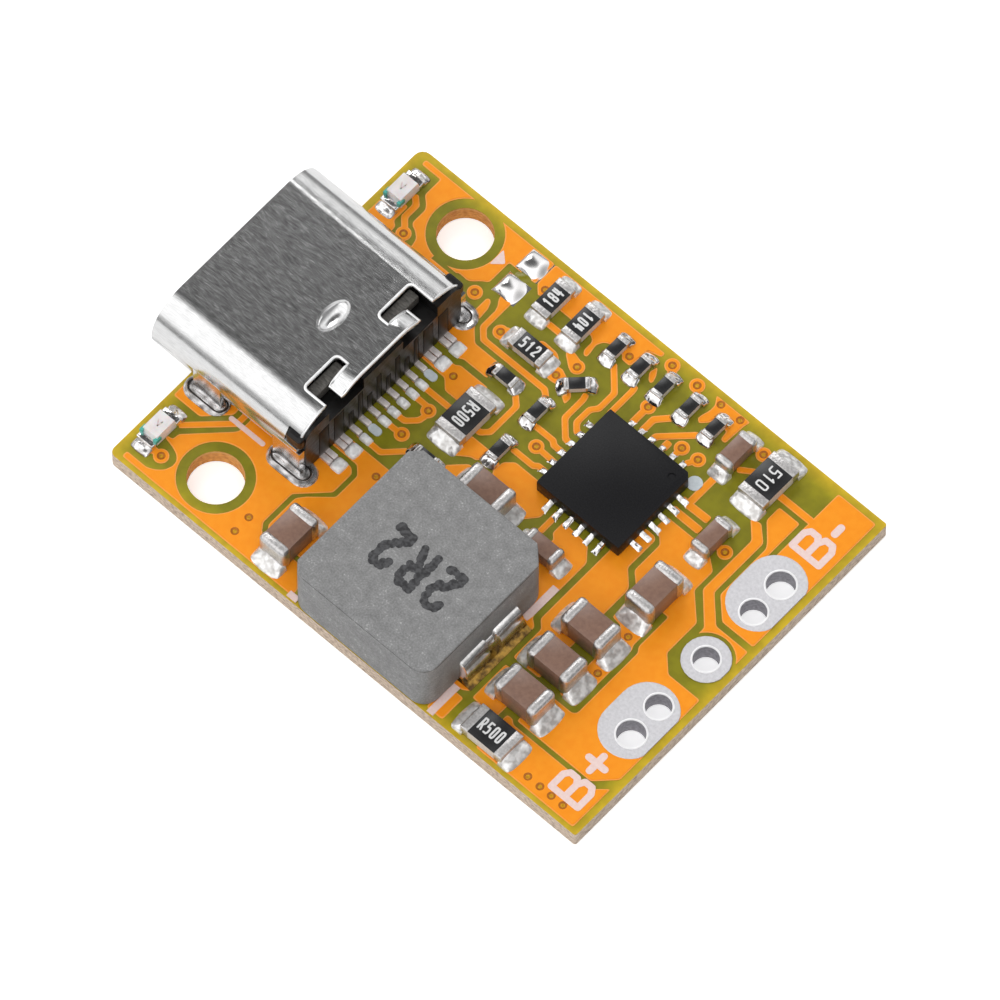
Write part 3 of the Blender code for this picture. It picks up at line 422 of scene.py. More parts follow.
def brushed_steel():
    """Nickel-plated sheet steel, rolled and then brushed: short dark and pale scratches run along the socket, and
    the plating mirrors the white surroundings where the sheet curves away."""
    finish, tree, shader = start("brushed nickel-plated steel", 0.2, 1.0)
    scratches = speckle(tree, 0.035, 1.5, (0.12, 1, 1))
    blotches = speckle(tree, 0.25, 3.0, (0.5, 1, 1))
    both = add(tree, "Mix", {"data_type": "FLOAT"}, Factor=0.35, i2=scratches, i3=blotches)
    facing = add(tree, "SeparateXYZ", Vector=add(tree, "NewGeometry").outputs["Normal"])
    flat = add(tree, "MapRange", Value=facing.outputs["Z"], From_Min=0.93, From_Max=0.99)
    scratched = add(tree, "ValToRGB", {"stops": (
        (0.34, "#BCBCBC"), (0.46, "#D6D6D6"), (0.56, "#E0E0E0"), (0.66, "#F6F6F6"))}, Fac=both)
    smooth = add(tree, "ValToRGB", {"stops": ((0.34, "#D4D4D4"), (0.66, "#E8E8E8"))}, Fac=both)
    colour = add(tree, "Mix", MIXED, Factor=flat, i6=smooth, i7=scratched)
    rough = add(tree, "MapRange", Value=both, From_Min=0.3, From_Max=0.7, To_Min=0.15, To_Max=0.2)
    # The scratches are hardly deep at all: they show by their colour and sheen.
    shallow = add(tree, "Bump", Height=scratches, Distance=0.00006 * MM)
    wired(shader, Base_Color=colour.outputs[2], Roughness=rough, Normal=shallow)
    return finish


# Depth and half the width of the dark band of painted shade under the core's top, where a groove would be in shadow,
# and how far it wavers.
GROOVE_SHADE_DEPTH = 0.09
GROOVE_SHADE_HALF = 0.016
GROOVE_SHADE_WAVER = 0.03


def pressed_powder():
    """Iron powder pressed with resin: grey, with coarse clouds, fine grit, and a few bare grains that glint. A dark
    band of painted shade runs round just under the top, standing for the shadow of a groove there."""
    finish, tree, shader = start("pressed iron powder", 0.62)
    grit = speckle(tree, 0.07, 2.0)
    clouds = speckle(tree, 0.45, 3.0)
    both = add(tree, "Mix", {"data_type": "FLOAT"}, Factor=0.4, i2=grit, i3=clouds)
    grey = add(tree, "ValToRGB", {"stops": (
        (0.3, "#6F6F6F"), (0.5, "#858585"), (0.62, "#919191"), (0.7, "#BEBEBE"))}, Fac=both)
    height = add(tree, "SeparateXYZ", Vector=add(tree, "TexCoord").outputs["Object"]).outputs["Z"]
    wavy = add(tree, "Math", {"operation": "MULTIPLY_ADD"}, i0=clouds, i1=GROOVE_SHADE_WAVER * MM, i2=height)
    # Painted shade: a near-black band just under the top stands for the shadow of a groove.
    line = add(tree, "Math", {"operation": "COMPARE"}, i0=wavy, i1=(CORE_TOP - GROOVE_SHADE_DEPTH) * MM,
               i2=GROOVE_SHADE_HALF * MM)
    lined = add(tree, "Mix", MIXED, Factor=line, i6=grey, i7="#2E2D2C")
    wired(shader, Base_Color=lined.outputs[2], Normal=add(tree, "Bump", Height=grit, Distance=0.012 * MM))
    return finish


def levelled_tin():
    """Hot-levelled tin: pale and matt on the flat, with the faint dimples of the air knife, and painted greyer down
    the walls of the wire holes, as painted shade inside the holes."""
    finish, tree, shader = start("hot-levelled tin", 0.6, 1.0)
    grain = speckle(tree, 0.12, 3.0)
    flat = add(tree, "ValToRGB", {"stops": ((0.3, "#D3D2D5"), (0.7, "#E2E1E4"))}, Fac=grain)
    # Painted shade: the upright walls of the wire holes get a greyer copy of the tin's colour.
    wall = add(tree, "ValToRGB", {"stops": ((0.3, "#A5A3A8"), (0.7, "#C9C7CC"))}, Fac=grain)
    shown = add(tree, "Mix", MIXED, Factor=level_face(tree, 0.3), i6=wall, i7=flat)
    wired(shader, Base_Color=shown.outputs[2], Normal=add(tree, "Bump", Height=grain, Distance=0.004 * MM))
    return finish


# Heights over the board between which the painted shade on a contact deepens.
CONTACT_SHADE_LOW = 0.15
CONTACT_SHADE_HIGH = 0.9


def contact_with_painted_shade():
    """Tin-plated bronze in the groove of the moulding: bright where it turns out over the board, then painted darker
    and darker up the groove, as painted shade inside it."""
    finish, tree, shader = start("contact with painted groove shade", 0.5, 0.3)
    height = add(tree, "SeparateXYZ", Vector=add(tree, "TexCoord").outputs["Object"]).outputs["Z"]
    rise = add(tree, "MapRange", Value=height, From_Min=(DECK + CONTACT_SHADE_LOW) * MM, From_Max=(DECK + CONTACT_SHADE_HIGH) * MM)
    stops = ((0.0, "#A09C99"), (0.3, "#3E3A38"), (0.7, "#0D0C0B"))
    wired(shader, Base_Color=add(tree, "ValToRGB", {"stops": stops}, Fac=rise))
    return finish


# Brushed scratches, pressed grit and moulded grain are too fine to show in a picture of the whole board, so they
# are drawn 0.035 to 0.1 mm wide.
mask = coated_board()
steel = brushed_steel()
# Cut edge of the sheet, tumbled and plated: a smooth round that stays white from any side.
burnished = mottled("burnished cut edge", "#EDEDED", "#FFFFFF", 0.3, 0.35, 0.9)
# Copper under an orange coating: smooth, a little glossy, faintly mottled by the copper's grain.
copper_face = mottled("orange coating over copper", "#FC9515", "#FF9D1D", 0.3, 0.32, bump_mm=0.002,
                      Specular_IOR_Level=0.35)
# The copper's sloped edge is painted paler than its top, a painted highlight along each edge.
copper_edge_highlight = mottled("copper edge painted pale as a highlight", "#FFA544", "#FFAE55", 0.2, 0.35)
# Coating that has pooled in a plugged via: darker and browner, since it lies deep.
via_fill = mottled("coating pooled in a via", "#B57A08", "#E2AC2A", 0.1, 0.2, bump_mm=0.01)
# Painted shade: where the coating sags into a via it is painted darker brown, standing for the dimple's shade.
via_rim_shade = mottled("via rim coating with painted shade", "#A15A0C", "#C0700F", 0.1, 0.35, Specular_IOR_Level=0.3)
# Screen-printed ink: matt, with slightly uneven cover.
ink = mottled("screen-printed white ink", "#ECCDC6", "#F3DAD4", 0.12, 0.6)
ink_on_olive = mottled("screen-printed white ink over olive", "#C4CDD2", "#D3DADF", 0.12, 0.6)
tin = levelled_tin()
# The lip where a hole's plating turns over is a raised rim, painted near white as a painted highlight round each
# hole.
lip = mottled("lip of a plated hole painted as a highlight", "#F8F7F9", "#FFFFFF", 0.2, 0.4, 0.3, bump_mm=0.002)
# Reflowed solder: a near mirror that is never flat, so it breaks the light into white patches and dark streaks.
solder = mottled("reflowed solder", "#BDBAB8", "#FBF9F9", 0.2, 0.14, 1.0, bump_mm=0.03, spread=0.12, detail=0.8)
# A cushion of solder on a bare pad: smooth and bright, with soft folds.
pad_solder = mottled("smooth solder cushion", "#E2E0DF", "#F8F6F6", 0.5, 0.16, 1.0, bump_mm=0.02, detail=0.3)
# Solder on the broad lands: it froze slowly, so its face is finely grained and nearly white.
grained_solder = mottled("grained solder", "#CFCCC9", "#FFFEFD", 0.22, 0.2, 0.5, bump_mm=0.026, spread=0.12,
                         detail=1.5)
# Solder that froze as a small bead: white and uneven.
bead_solder = mottled("bright solder bead", "#ECEBEA", "#FFFFFF", 0.16, 0.16, 0.1, bump_mm=0.026, spread=0.1,
                      detail=1.0)
# Solder tinted amber brown, in darker and lighter blotches.
amber = mottled("amber-tinted solder", "#5A400E", "#B98F3A", 0.25, 0.16, 0.5, bump_mm=0.02, spread=0.12)
# Solder drawn up round a leg, in soft ripples.
rippled_solder = mottled("rippled solder", "#A5A2A0", "#F4F2F2", 0.3, 0.2, 0.9, bump_mm=0.012, spread=0.12,
                         detail=0.5)
# Near black, for the narrow groove where the solder has drawn back from a leg.
groove_dark = mottled("near-black groove round a leg", "#16110D", "#2E241B", 0.08, 0.3, bump_mm=0.004)
# Barrel-plated chip terminations: satin tin with fine grain.
termination = mottled("plated chip termination", "#B9B7B6", "#DEDBDA", 0.09, 0.36, 1.0, bump_mm=0.018)
# Strap of the inductor: drawn strip, tinned, with the die's fine lines.
strap = mottled("tinned copper strap", "#CFCDCB", "#F2F0EE", 0.15, 0.22, 1.0, bump_mm=0.003, stretch=(1, 1, 0.25))
# Tin-plated phosphor bronze: the feet are bright and faintly warm, the part inside each groove is painted darker
# upwards as shade in the groove, and the strips in the mouth are gilded.
contact_foot = mottled("tin-plated contact foot", "#DAD1CE", "#EFE6E3", 0.1, 0.42, 0.5, bump_mm=0.004)
contact_painted_shade = contact_with_painted_shade()
contact_gilt = mottled("gilded contact strip", "#D0A456", "#E0BC74", 0.1, 0.25, 1.0, bump_mm=0.002)
# Glass-filled moulded polymer: near black, with a fine satin grain. Where it shows in the notches of the shell, a
# copy of it is painted much greyer, as painted light.
polymer = mottled("black moulded polymer", "#0A0908", "#121010", 0.3, 0.35, bump_mm=0.02, Specular_IOR_Level=0.35)
grained_polymer_painted_light = mottled("grained moulded polymer painted lighter as if lit", "#403E3A", "#6C6964", 0.06, 0.55, bump_mm=0.01,
                          stretch=(0.3, 1, 1))
powder = pressed_powder()
# Marking burnt into the core dot by dot: dark and matt.
powder_print = mottled("dark dotted marking", "#29292B", "#4C4C4E", 0.16, 0.7, bump_mm=0.02, spread=0.12)
# Transfer-moulded epoxy: charcoal with a fine spark-eroded grain.
epoxy = mottled("spark-grained black epoxy", "#0C0C0E", "#1A1A1D", 0.05, 0.4, bump_mm=0.004,
                Specular_IOR_Level=0.2)
# Chip resistor: overglaze, black and slightly glossy, with a matt white code, on chalky pale ceramic.
glaze = mottled("black overglaze", "#141416", "#202022", 0.06, 0.3, bump_mm=0.002)
code_ink = mottled("white resistor code", "#D5D5D5", "#E9E9E9", 0.05, 0.5)
alumina = mottled("fired alumina", "#C9C0B8", "#DDD6CF", 0.06, 0.5)
# Barium-titanate ceramic: taupe, dense and faintly glossy.
taupe = mottled("taupe multilayer ceramic", "#7F6153", "#8D6E5E", 0.15, 0.32, bump_mm=0.002)
# Epoxy cast over the lamp: milky, so that light sinks in and its edges look soft.
lens = mottled("milky epoxy lens", "#E6E0DF", "#F2EEED", 0.3, 0.22, Subsurface_Weight=0.25,
               Subsurface_Scale=0.2 * MM)
# The lamp's chip is a dull shadow in the epoxy. The base is matt white laminate, and painted corners mark its
# polarity.
lens_core = mottled("lamp chip seen through epoxy", "#CDB5B2", "#E2D3D0", 0.1, 0.3)
laminate_white = mottled("white lamp laminate", "#E4E2DE", "#F1F0ED", 0.1, 0.4)
teal = mottled("teal polarity mark", "#3FA79A", "#59B9AC", 0.1, 0.5)

FINISHES = {
    "circuit_board": (mask, "coated_board"),
    "socket_insert": (polymer, "black_polymer"),
    "inductor_terminal_left": (strap, "tinned_copper"),
    "inductor_land_left": (amber, "solder"),
    "inductor_land_right": (amber, "solder"),
    "battery_negative_terminal": (tin, "tinned_copper"),
    "battery_centre_terminal": (tin, "tinned_copper"),
    "battery_positive_terminal": (tin, "tinned_copper"),
    "indicator_upper_lens": (lens, "milky_epoxy"),
    "indicator_lower_lens": (lens, "milky_epoxy"),
}
for node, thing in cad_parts.items():
    found = FINISHES.get(node)
    if node.startswith("leg_eyelet"):
        found = (rippled_solder, "solder")
    if not found:
        continue
    thing.data.materials.clear()
    thing.data.materials.append(found[0])

SAME_POINT = 0.0005
FLAT_WITHIN = math.radians(1)

# Stamped and plated edges are never sharp: a small round catches the light along each one.
for node, width in (("battery_negative_terminal", 0.03), ("battery_centre_terminal", 0.03),
                    ("battery_positive_terminal", 0.03), ("inductor_terminal_left", 0.085)):
    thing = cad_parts[node]
    merge = thing.modifiers.new("merge", "WELD")
    merge.merge_threshold = SAME_POINT * MM
    tidied = thing.modifiers.new("flat_faces_joined", "DECIMATE")
    tidied.decimate_type = "DISSOLVE"
    tidied.angle_limit = FLAT_WITHIN
    rounding = thing.modifiers.new("rounding", "BEVEL")
    rounding.width = width * MM
    rounding.segments = 3
    rounding.limit_method = "ANGLE"
    rounding.use_clamp_overlap = False
    rounding.angle_limit = math.radians(40)
    rounding.harden_normals = True

# The shell's cut rear edge, the notches in it, and the tongue that is bent down in each.
SHELL_REAR_X = -5.8
SHELL_FLAT_HALF = 2.89
SHELL_RADIUS = 1.58
NOTCH_DEPTH = 1.1
NOTCH_CORNER = 0.2
TONGUE_START = 1.07
TONGUE_REAR = 0.54
TONGUE_FRONT = 0.08
TONGUE_BEND_RADIUS = 1.7
SHELL_CUT_RADIUS = 0.065
# Rounding of the shell's rims and of the core's corners, and which edges it is for.
SHELL_RIM = 0.11
SHELL_ROUNDED_ABOVE = 2.3
CORE_CORNER = 0.36
CORE_UPRIGHT = 1.2


def rounded_copy(node, radius, chosen):
    """The node's own mesh in millimetres, its flat faces joined and the chosen edges rounded over."""
    solid = bmesh.new()
    solid.from_mesh(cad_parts[node].data)
    bmesh.ops.scale(solid, verts=solid.verts, vec=(1 / MM, 1 / MM, 1 / MM))
    bmesh.ops.remove_doubles(solid, verts=solid.verts, dist=SAME_POINT)
    bmesh.ops.dissolve_limit(solid, angle_limit=FLAT_WITHIN, verts=solid.verts, edges=solid.edges)
    edges = [edge for edge in solid.edges if chosen(edge)]
    bmesh.ops.bevel(solid, geom=edges, offset=radius, segments=3, profile=0.5, affect="EDGES", clamp_overlap=True)
    return mesh_from(solid)


def wire(points, radius, sides=8):
    """A round rod along a line in space, closed at both ends."""
    loops = []
    for i, point in enumerate(points):
        here = Vector(point)
        way = (Vector(points[min(i + 1, len(points) - 1)]) - Vector(points[max(i - 1, 0)])).normalized()
        across = way.cross(Vector((0, 0, 1)))
        across = across.normalized() if across.length > 0.01 else Vector((1, 0, 0))
        over = across.cross(way)
        turns = [2 * math.pi * k / sides for k in range(sides)]
        loops.append([here + radius * (math.cos(turn) * across + math.sin(turn) * over) for turn in turns])
    return lofted(loops)


def rear_edge(side):
    """The cut rear edge of the shell's top on one side, from its shoulder round the notch and the bent tongue."""
    rear, top = SHELL_REAR_X, SHELL_TOP
    shoulder = [(rear, SHELL_FLAT_HALF + SHELL_RADIUS * math.sin(math.radians(a)),
                 top - SHELL_RADIUS + SHELL_RADIUS * math.cos(math.radians(a))) for a in range(60, -1, -10)]
    corner_x = rear - NOTCH_DEPTH + NOTCH_CORNER
    around = arc(corner_x, SHELL_FLAT_HALF - NOTCH_CORNER, NOTCH_CORNER, 90, 180, 4)
    around += arc(corner_x, TONGUE_START + NOTCH_CORNER, NOTCH_CORNER, 180, 270, 4)
    notch = [(x, y, top) for x, y in around]
    bend = [(TONGUE_START + TONGUE_BEND_RADIUS * math.sin(math.radians(b)),
             top - TONGUE_BEND_RADIUS * (1 - math.cos(math.radians(b)))) for b in range(0, 37, 6)]
    tongue = [(rear - TONGUE_REAR, y, z) for y, z in bend] + [(rear + TONGUE_FRONT, y, z) for y, z in bend[::-1]]
    line = shoulder + notch + tongue
    return [(x, SOCKET_Y + side * y, z - SHELL_CUT_RADIUS * 0.5) for x, y, z in line]


def punched_edge(edge):
    """Sharp edges of the shell, down to where its legs leave it."""
    lowest = min(vertex.co.z for vertex in edge.verts)
    return edge.calc_face_angle(0.0) > math.radians(50) and lowest > SHELL_ROUNDED_ABOVE


def corner_edge(edge):
    """The long upright edges of the inductor's core."""
    return abs(edge.verts[0].co.z - edge.verts[1].co.z) > CORE_UPRIGHT


def evenly_shaded(thing):
    """Large flat faces keep their own normals beside a rounded edge."""
    thing.modifiers.new("even_shading", "WEIGHTED_NORMAL").keep_sharp = True


shell = rounded_copy("socket_shell", SHELL_RIM, punched_edge)
evenly_shaded(piece("dressed_shell", [(shell, steel)], ["socket_shell"], 50))
# The cut edge has been burnished round by tumbling, and it catches the white light all along.
cut_edge = rear_edge(-1) + rear_edge(1)[::-1]
evenly_shaded(piece("burnished_rear_edge", [(wire(cut_edge, SHELL_CUT_RADIUS), burnished)]))
core = rounded_copy("inductor_core", CORE_CORNER, corner_edge)
evenly_shaded(piece("dressed_core", [(core, powder)], ["inductor_core"], 40))

# The copper ends just inside the board's edges.
TOP_Y = BOARD_HIGH.y - COPPER_MARGIN
BOTTOM_Y = BOARD_LOW.y + 0.2
RIGHT_X = BOARD_HIGH.x - 0.3

# Outlines of the copper pours, seen from above.
POURS = [
    # round the upper mounting hole
    [(-10.97, TOP_Y), (-4.6, TOP_Y), (-4.6, 7.07), (-5.87, 7.07), (-5.87, 5.98), (-6.1, 5.84), (-6.35, 5.6),
     (-6.5, 5.5), (-6.97, 5.52), (-7.2, 5.2), (-7.2, 4.6), (-9.0, 4.6), (-8.97, 5.2), (-9.05, 5.5), (-9.3, 5.72),
     (-9.5, 5.8), (-9.6, 5.92), (-9.6, 6.6), (-9.72, 6.78), (-10.03, 7.05), (-10.03, 7.9), (-10.97, 7.9)],
    # under the upper indicator
    [(-11.3, 6.28), (-10.15, 6.28), (-10.15, 5.5), (-9.95, 5.38), (-9.9, 4.6), (-11.2, 4.6), (-11.12, 5.3),
     (-11.12, 6.0)],
    [(-5.5, 5.42), (-5.4, 5.5), (-5.28, 5.42), (-5.17, 5.15), (-5.13, 4.6), (-5.5, 4.6)],
    [(-5.2, 5.9), (-4.68, 5.9), (-4.68, 5.2), (-4.92, 5.2), (-4.98, 5.45), (-5.15, 5.7)],
    # beside the socket
    [(-5.7, 3.5), (-5.7, 4.5), (-5.1, 4.45), (-5.02, 4.25), (-4.57, 3.79), (-3.3, 3.79), (-3.3, 3.03), (-4.45, 3.03),
     (-4.6, 2.93), (-5.7, 2.93)],
    [(-5.7, 2.65), (-4.5, 2.65), (-4.37, 2.77), (-3.0, 2.77), (-3.0, 1.63), (-4.1, 1.63), (-4.45, 2.0), (-5.7, 2.05)],
    [(-5.7, -2.12), (-2.3, -2.12), (-2.3, -6.9), (-5.0, -6.9), (-5.16, -6.68), (-5.16, -5.25), (-4.92, -4.95),
     (-4.1, -4.22), (-4.1, -3.08), (-4.42, -2.75), (-5.7, -2.75)],
    # round the lower mounting hole
    [(-8.5, -3.2), (-5.7, -3.2), (-5.7, -2.95), (-4.5, -2.95), (-4.3, -3.15), (-4.3, -4.15), (-5.05, -4.9),
     (-5.36, -5.2), (-5.36, -6.75), (-5.1, -7.1), (-3.3, -7.1), (-2.6, -7.9), (-2.6, BOTTOM_Y), (-10.97, BOTTOM_Y),
     (-10.97, -7.96), (-10.0, -7.96), (-9.7, -7.82), (-9.45, -7.6), (-9.33, -7.3), (-9.36, -7.05), (-9.55, -6.85),
     (-9.85, -6.73), (-10.3, -6.63), (-10.3, -6.52), (-10.07, -6.48), (-10.05, -6.2), (-9.75, -5.9), (-8.6, -4.75),
     (-8.5, -4.6)],
    [(-11.27, -3.6), (-11.27, -5.15), (-9.97, -5.15), (-9.1, -4.28), (-9.1, -3.6)],
    # along the top edge
    [(-4.55, TOP_Y), (0.83, TOP_Y), (0.83, 7.95), (0.3, 7.8), (0.22, 6.9), (-0.2, 6.9), (-0.3, 7.08), (-0.95, 7.08),
     (-1.15, 6.95), (-1.27, 6.7), (-1.2, 6.3), (-1.2, 6.12), (-1.33, 6.1), (-1.46, 6.25), (-1.46, 6.7), (-1.65, 6.87),
     (-4.1, 6.87), (-4.2, 6.78), (-4.42, 7.0), (-4.55, 7.15)],
    [(3.35, TOP_Y), (5.0, TOP_Y), (4.93, 7.9), (4.88, 6.9), (4.65, 6.9), (4.6, 7.3), (3.92, 7.3), (3.9, 7.15),
     (3.62, 6.86), (3.45, 7.0), (3.5, 7.25), (3.58, 7.5), (3.58, 7.8)],
    [(1.0, 7.55), (1.2, 7.25), (1.28, 6.98), (1.22, 6.88), (1.08, 6.95), (0.9, 7.2)],
    [(-3.2, 6.05), (-2.5, 6.05), (-2.5, 6.31), (-3.2, 6.31)],
    [(-1.95, 5.95), (-1.6, 5.95), (-1.3, 5.87), (-0.95, 5.8), (-0.87, 5.57), (-0.98, 5.33), (-1.2, 5.26),
     (-1.4, 5.35), (-1.85, 5.7)],
    [(-2.1, 5.06), (-1.5, 5.16), (-1.1, 4.98), (-1.1, 4.56), (-1.6, 4.5), (-2.1, 4.6)],
    [(-4.2, 5.05), (-4.0, 5.12), (-3.8, 5.1), (-3.8, 4.5), (-4.2, 4.47)],
    [(-2.9, 5.3), (-2.9, 5.47), (-2.75, 5.55), (-2.1, 5.52), (-1.88, 5.38), (-1.88, 5.3)],
    [(-0.85, 4.35), (-0.5, 4.14), (-0.49, 4.5), (-0.7, 4.7)],
    # round the controller
    [(5.3, 3.28), (6.6, 3.28), (7.45, 3.2), (8.03, 2.75), (8.03, 1.75), (8.98, 0.82), (8.98, -0.78), (9.6, -1.4),
     (RIGHT_X, -1.4), (RIGHT_X, -5.7), (10.38, -6.45), (6.8, -6.45), (6.8, -4.88), (8.05, -4.88), (8.2, -4.75),
     (8.2, -1.5), (8.05, -1.3), (8.05, 0.3), (6.5, 0.3), (5.88, 0.88), (5.88, 2.25), (5.6, 2.52), (5.3, 2.52)],
    [(4.68, 0.7), (4.68, 2.4), (5.5, 2.4), (5.64, 2.28), (5.64, 0.8), (6.2, 0.24), (6.25, 0.05), (6.25, -4.65),
     (4.98, -4.65), (4.98, -3.15), (4.68, -2.85)],
    [(6.55, -0.3), (7.88, -0.3), (7.88, -1.4), (7.97, -1.55), (7.97, -4.62), (7.2, -4.62), (7.2, -1.5), (7.0, -1.1),
     (6.55, -1.05)],
    [(4.98, -5.05), (6.15, -5.05), (6.15, -6.85), (4.98, -6.85)],
    [(6.38, -6.5), (6.65, -6.5), (6.8, -6.65), (10.62, -6.65), (RIGHT_X, -6.2), (RIGHT_X, BOTTOM_Y), (6.4, BOTTOM_Y),
     (6.38, -8.0)],
    [(2.68, 0.6), (3.95, 0.5), (4.42, -0.08), (4.42, -2.98), (4.75, -3.25), (4.75, -6.7), (4.5, -6.88), (2.0, -6.88),
     (2.0, -3.0), (2.9, -0.2), (2.68, 0.0)],
    [(4.0, -7.08), (4.77, -7.08), (4.77, BOTTOM_Y), (4.0, BOTTOM_Y)],
    [(-0.57, 0.9), (-0.22, 1.21), (1.93, 1.21), (1.93, 0.15), (1.6, -0.22), (0.7, -1.3), (0.3, -0.2), (-0.45, 0.2),
     (-0.62, 0.4)],
    [(-2.15, 0.93), (-1.2, 0.93), (-1.2, 0.5), (-1.35, 0.28), (-1.55, 0.28), (-2.08, -0.1), (-2.15, 0.2)],
    [(-1.42, 0.02), (-0.8, 0.02), (-0.8, -1.0), (-2.2, -1.0), (-2.05, -0.6), (-1.65, -0.2)],
    # wire pads
    [(9.3, TOP_Y), (RIGHT_X, TOP_Y), (RIGHT_X, 1.47), (9.62, 1.47), (8.83, 2.25), (8.83, 4.72), (8.68, 4.95),
     (8.07, 5.6), (8.07, 6.3), (9.07, 6.3), (9.07, 4.5), (9.28, 4.62)],
    [(7.6, 5.25), (8.02, 5.38), (8.62, 4.82), (8.62, 2.17), (9.58, 1.2), (RIGHT_X, 1.2), (RIGHT_X, 0.4), (10.2, 0.0),
     (9.3, 0.3), (9.3, 0.85), (8.22, 1.98), (8.22, 4.62), (7.75, 5.1)],
]

# Width and route of each track.
TRACKS = [
    (0.25, [(-4.8, 5.9), (-4.8, 4.48), (-4.45, 4.11), (-1.43, 4.11), (-1.0, 3.72)]),
    (0.26, [(-10.3, 6.82), (-9.97, 6.52), (-9.97, 5.88), (-9.7, 5.6), (-9.53, 5.35)]),
    (0.25, [(-10.3, -5.93), (-8.76, -4.45), (-8.76, -3.2)]),
    (0.25, [(-0.3, 6.6), (0.55, 5.7), (0.55, 4.86), (0.33, 4.6), (0.32, 3.9), (0.58, 3.62), (0.9, 3.62)]),
    (0.25, [(0.9, 6.45), (0.97, 6.25), (0.97, 4.9)]),
    (0.25, [(-0.2, 5.0), (-0.12, 4.75), (-0.12, 3.75), (0.48, 3.12), (0.9, 3.12)]),
    (0.28, [(1.82, 6.5), (1.82, 5.2)]),
    (0.28, [(2.85, 6.45), (2.31, 5.87), (2.31, 5.2)]),
    (0.27, [(3.95, 6.5), (2.83, 5.4), (2.83, 5.1)]),
    (0.25, [(4.6, 5.7), (4.35, 5.3)]),
    (0.25, [(3.85, 5.7), (3.84, 5.3)]),
    (0.3, [(5.54, 5.6), (5.54, 4.2)]),
    (0.33, [(5.2, 4.15), (6.55, 4.18)]),
    (0.33, [(5.2, 3.65), (6.6, 3.65)]),
    (0.25, [(-0.7, 2.78), (0.2, 2.78), (0.32, 2.65), (0.9, 2.65)]),
    (0.25, [(-0.1, 2.185), (0.9, 2.15)]),
    (0.25, [(-0.7, 1.53), (0.35, 1.53), (0.47, 1.65), (0.9, 1.65)]),
    (0.25, [(-5.3, 1.23), (-2.0, 1.23), (-1.73, 1.5), (-1.73, 2.9), (-2.1, 3.25)]),
    (0.25, [(-5.3, 0.73), (-3.98, 0.72), (-3.9, 0.5), (-3.97, 0.1), (-4.35, -0.27), (-5.3, -0.27)]),
    (0.25, [(-5.3, -0.77), (-4.05, -0.75)]),
    (0.25, [(-5.3, -1.77), (-4.13, -1.8), (-3.4, -1.07)]),
    (0.25, [(2.31, 0.8), (2.31, -0.3)]),
    (0.3, [(7.6, 6.65), (9.5, 6.65)]),
    (0.25, [(5.9, 6.4), (6.5, 6.8)]),
    (0.3, [(7.3, 3.62), (7.82, 3.62)]),
    (0.3, [(6.22, 7.5), (5.9, 7.5)]),
    (0.3, [(-10.5, -7.28), (-9.92, -7.28)]),
    (0.3, [(1.35, 7.96), (1.6, 7.75)]),
    (0.3, [(2.56, 7.96), (2.75, 7.75)]),
    (0.3, [(1.82, 6.1), (1.76, 6.4)]),
    (0.3, [(3.35, 5.6), (3.35, 5.2)]),
]

# Vias with a ring of their own, then vias inside a pour.
RINGED_VIAS = [
    (-9.535, 5.35), (-5.985, 5.325), (-4.2, 4.76), (-1.525, 4.815), (-1.175, 5.575), (1.825, 6.115), (1.35, 7.96),
    (2.565, 7.96), (3.85, 5.7), (4.6, 5.74), (6.225, 7.5), (7.825, 3.62), (-3.975, 0.61), (-4.05, -0.74),
    (-0.1, 2.185), (-9.915, -7.275),
]
POUR_VIAS = [
    (3.725, 7.96), (4.665, 7.96), (-0.05, 7.175), (-4.15, 7.125), (-4.25, 2.26), (-3.575, -2.64), (-5.875, -6.96),
    (-5.875, -7.71), (7.515, -1.265), (7.685, -3.09), (8.59, -7.835), (9.175, -7.835), (9.725, -7.835),
    (10.285, -7.835),
]
# Bare of copper: round the screw holes, a short gap beside the upper one, and round the centre wire pad.
CLEARINGS = [
    circle(HOLE_X, HOLE_UPPER_Y, HOLE_CLEARANCE, 48),
    circle(HOLE_X, HOLE_LOWER_Y, HOLE_CLEARANCE, 48),
    rectangle(-8.1, -6.3, 5.28, 5.45),
    circle(10.2, -0.03, 1.08, 36),
]
VIA_PAD = 0.3
VIA_DRILL = 0.145
TRACK_CORNER = 0.09
# Radius and height of the coating that has sagged into a via, from outside in, and radius of what has pooled.
VIA_SAG = ((0.17, 0.0), (0.17, COPPER * 0.9), (0.14, COPPER), (0.09, COPPER * 0.2))
VIA_POOL = 0.085


def copper_layer(inset, low, high, drill):
    """The copper pours and tracks between two heights, drawn in by an inset all round."""
    shapes = [slab(softened(grown(pour, -inset), TRACK_CORNER), low, high) for pour in POURS]
    cleared = combined(shapes[0], shapes[1:], "UNION")
    cleared = combined(cleared, [slab(grown(hole, inset), low - 1, high + 1) for hole in CLEARINGS], "DIFFERENCE")
    added = [slab(softened(stroke(path, width - 2 * inset), TRACK_CORNER), low, high) for width, path in TRACKS]
    added += [slab(circle(x, y, VIA_PAD - inset), low, high) for x, y in RINGED_VIAS]
    layer = combined(cleared, added, "UNION")
    holes = [slab(circle(x, y, drill, 14), low - 1, high + 1) for x, y in RINGED_VIAS + POUR_VIAS]
    bores = [slab(circle(x, y, r, 24), low - 1, high + 1) for x, y, r in WIRE_BORES]
    return combined(layer, holes + bores, "DIFFERENCE")


# Middle of each wire hole and radius of its clearing: the copper ends under the tinned pad, clear of the hole.
WIRE_X = 10.21
WIRE_BORES = [(WIRE_X, y, radius) for y, radius in (
    (3.9975, 0.7), (2.5225, 0.65), (-0.04, 0.65), (-2.6025, 0.65), (-4.0775, 0.7))]
LIP_INSIDE_CLEARANCE = 0.15


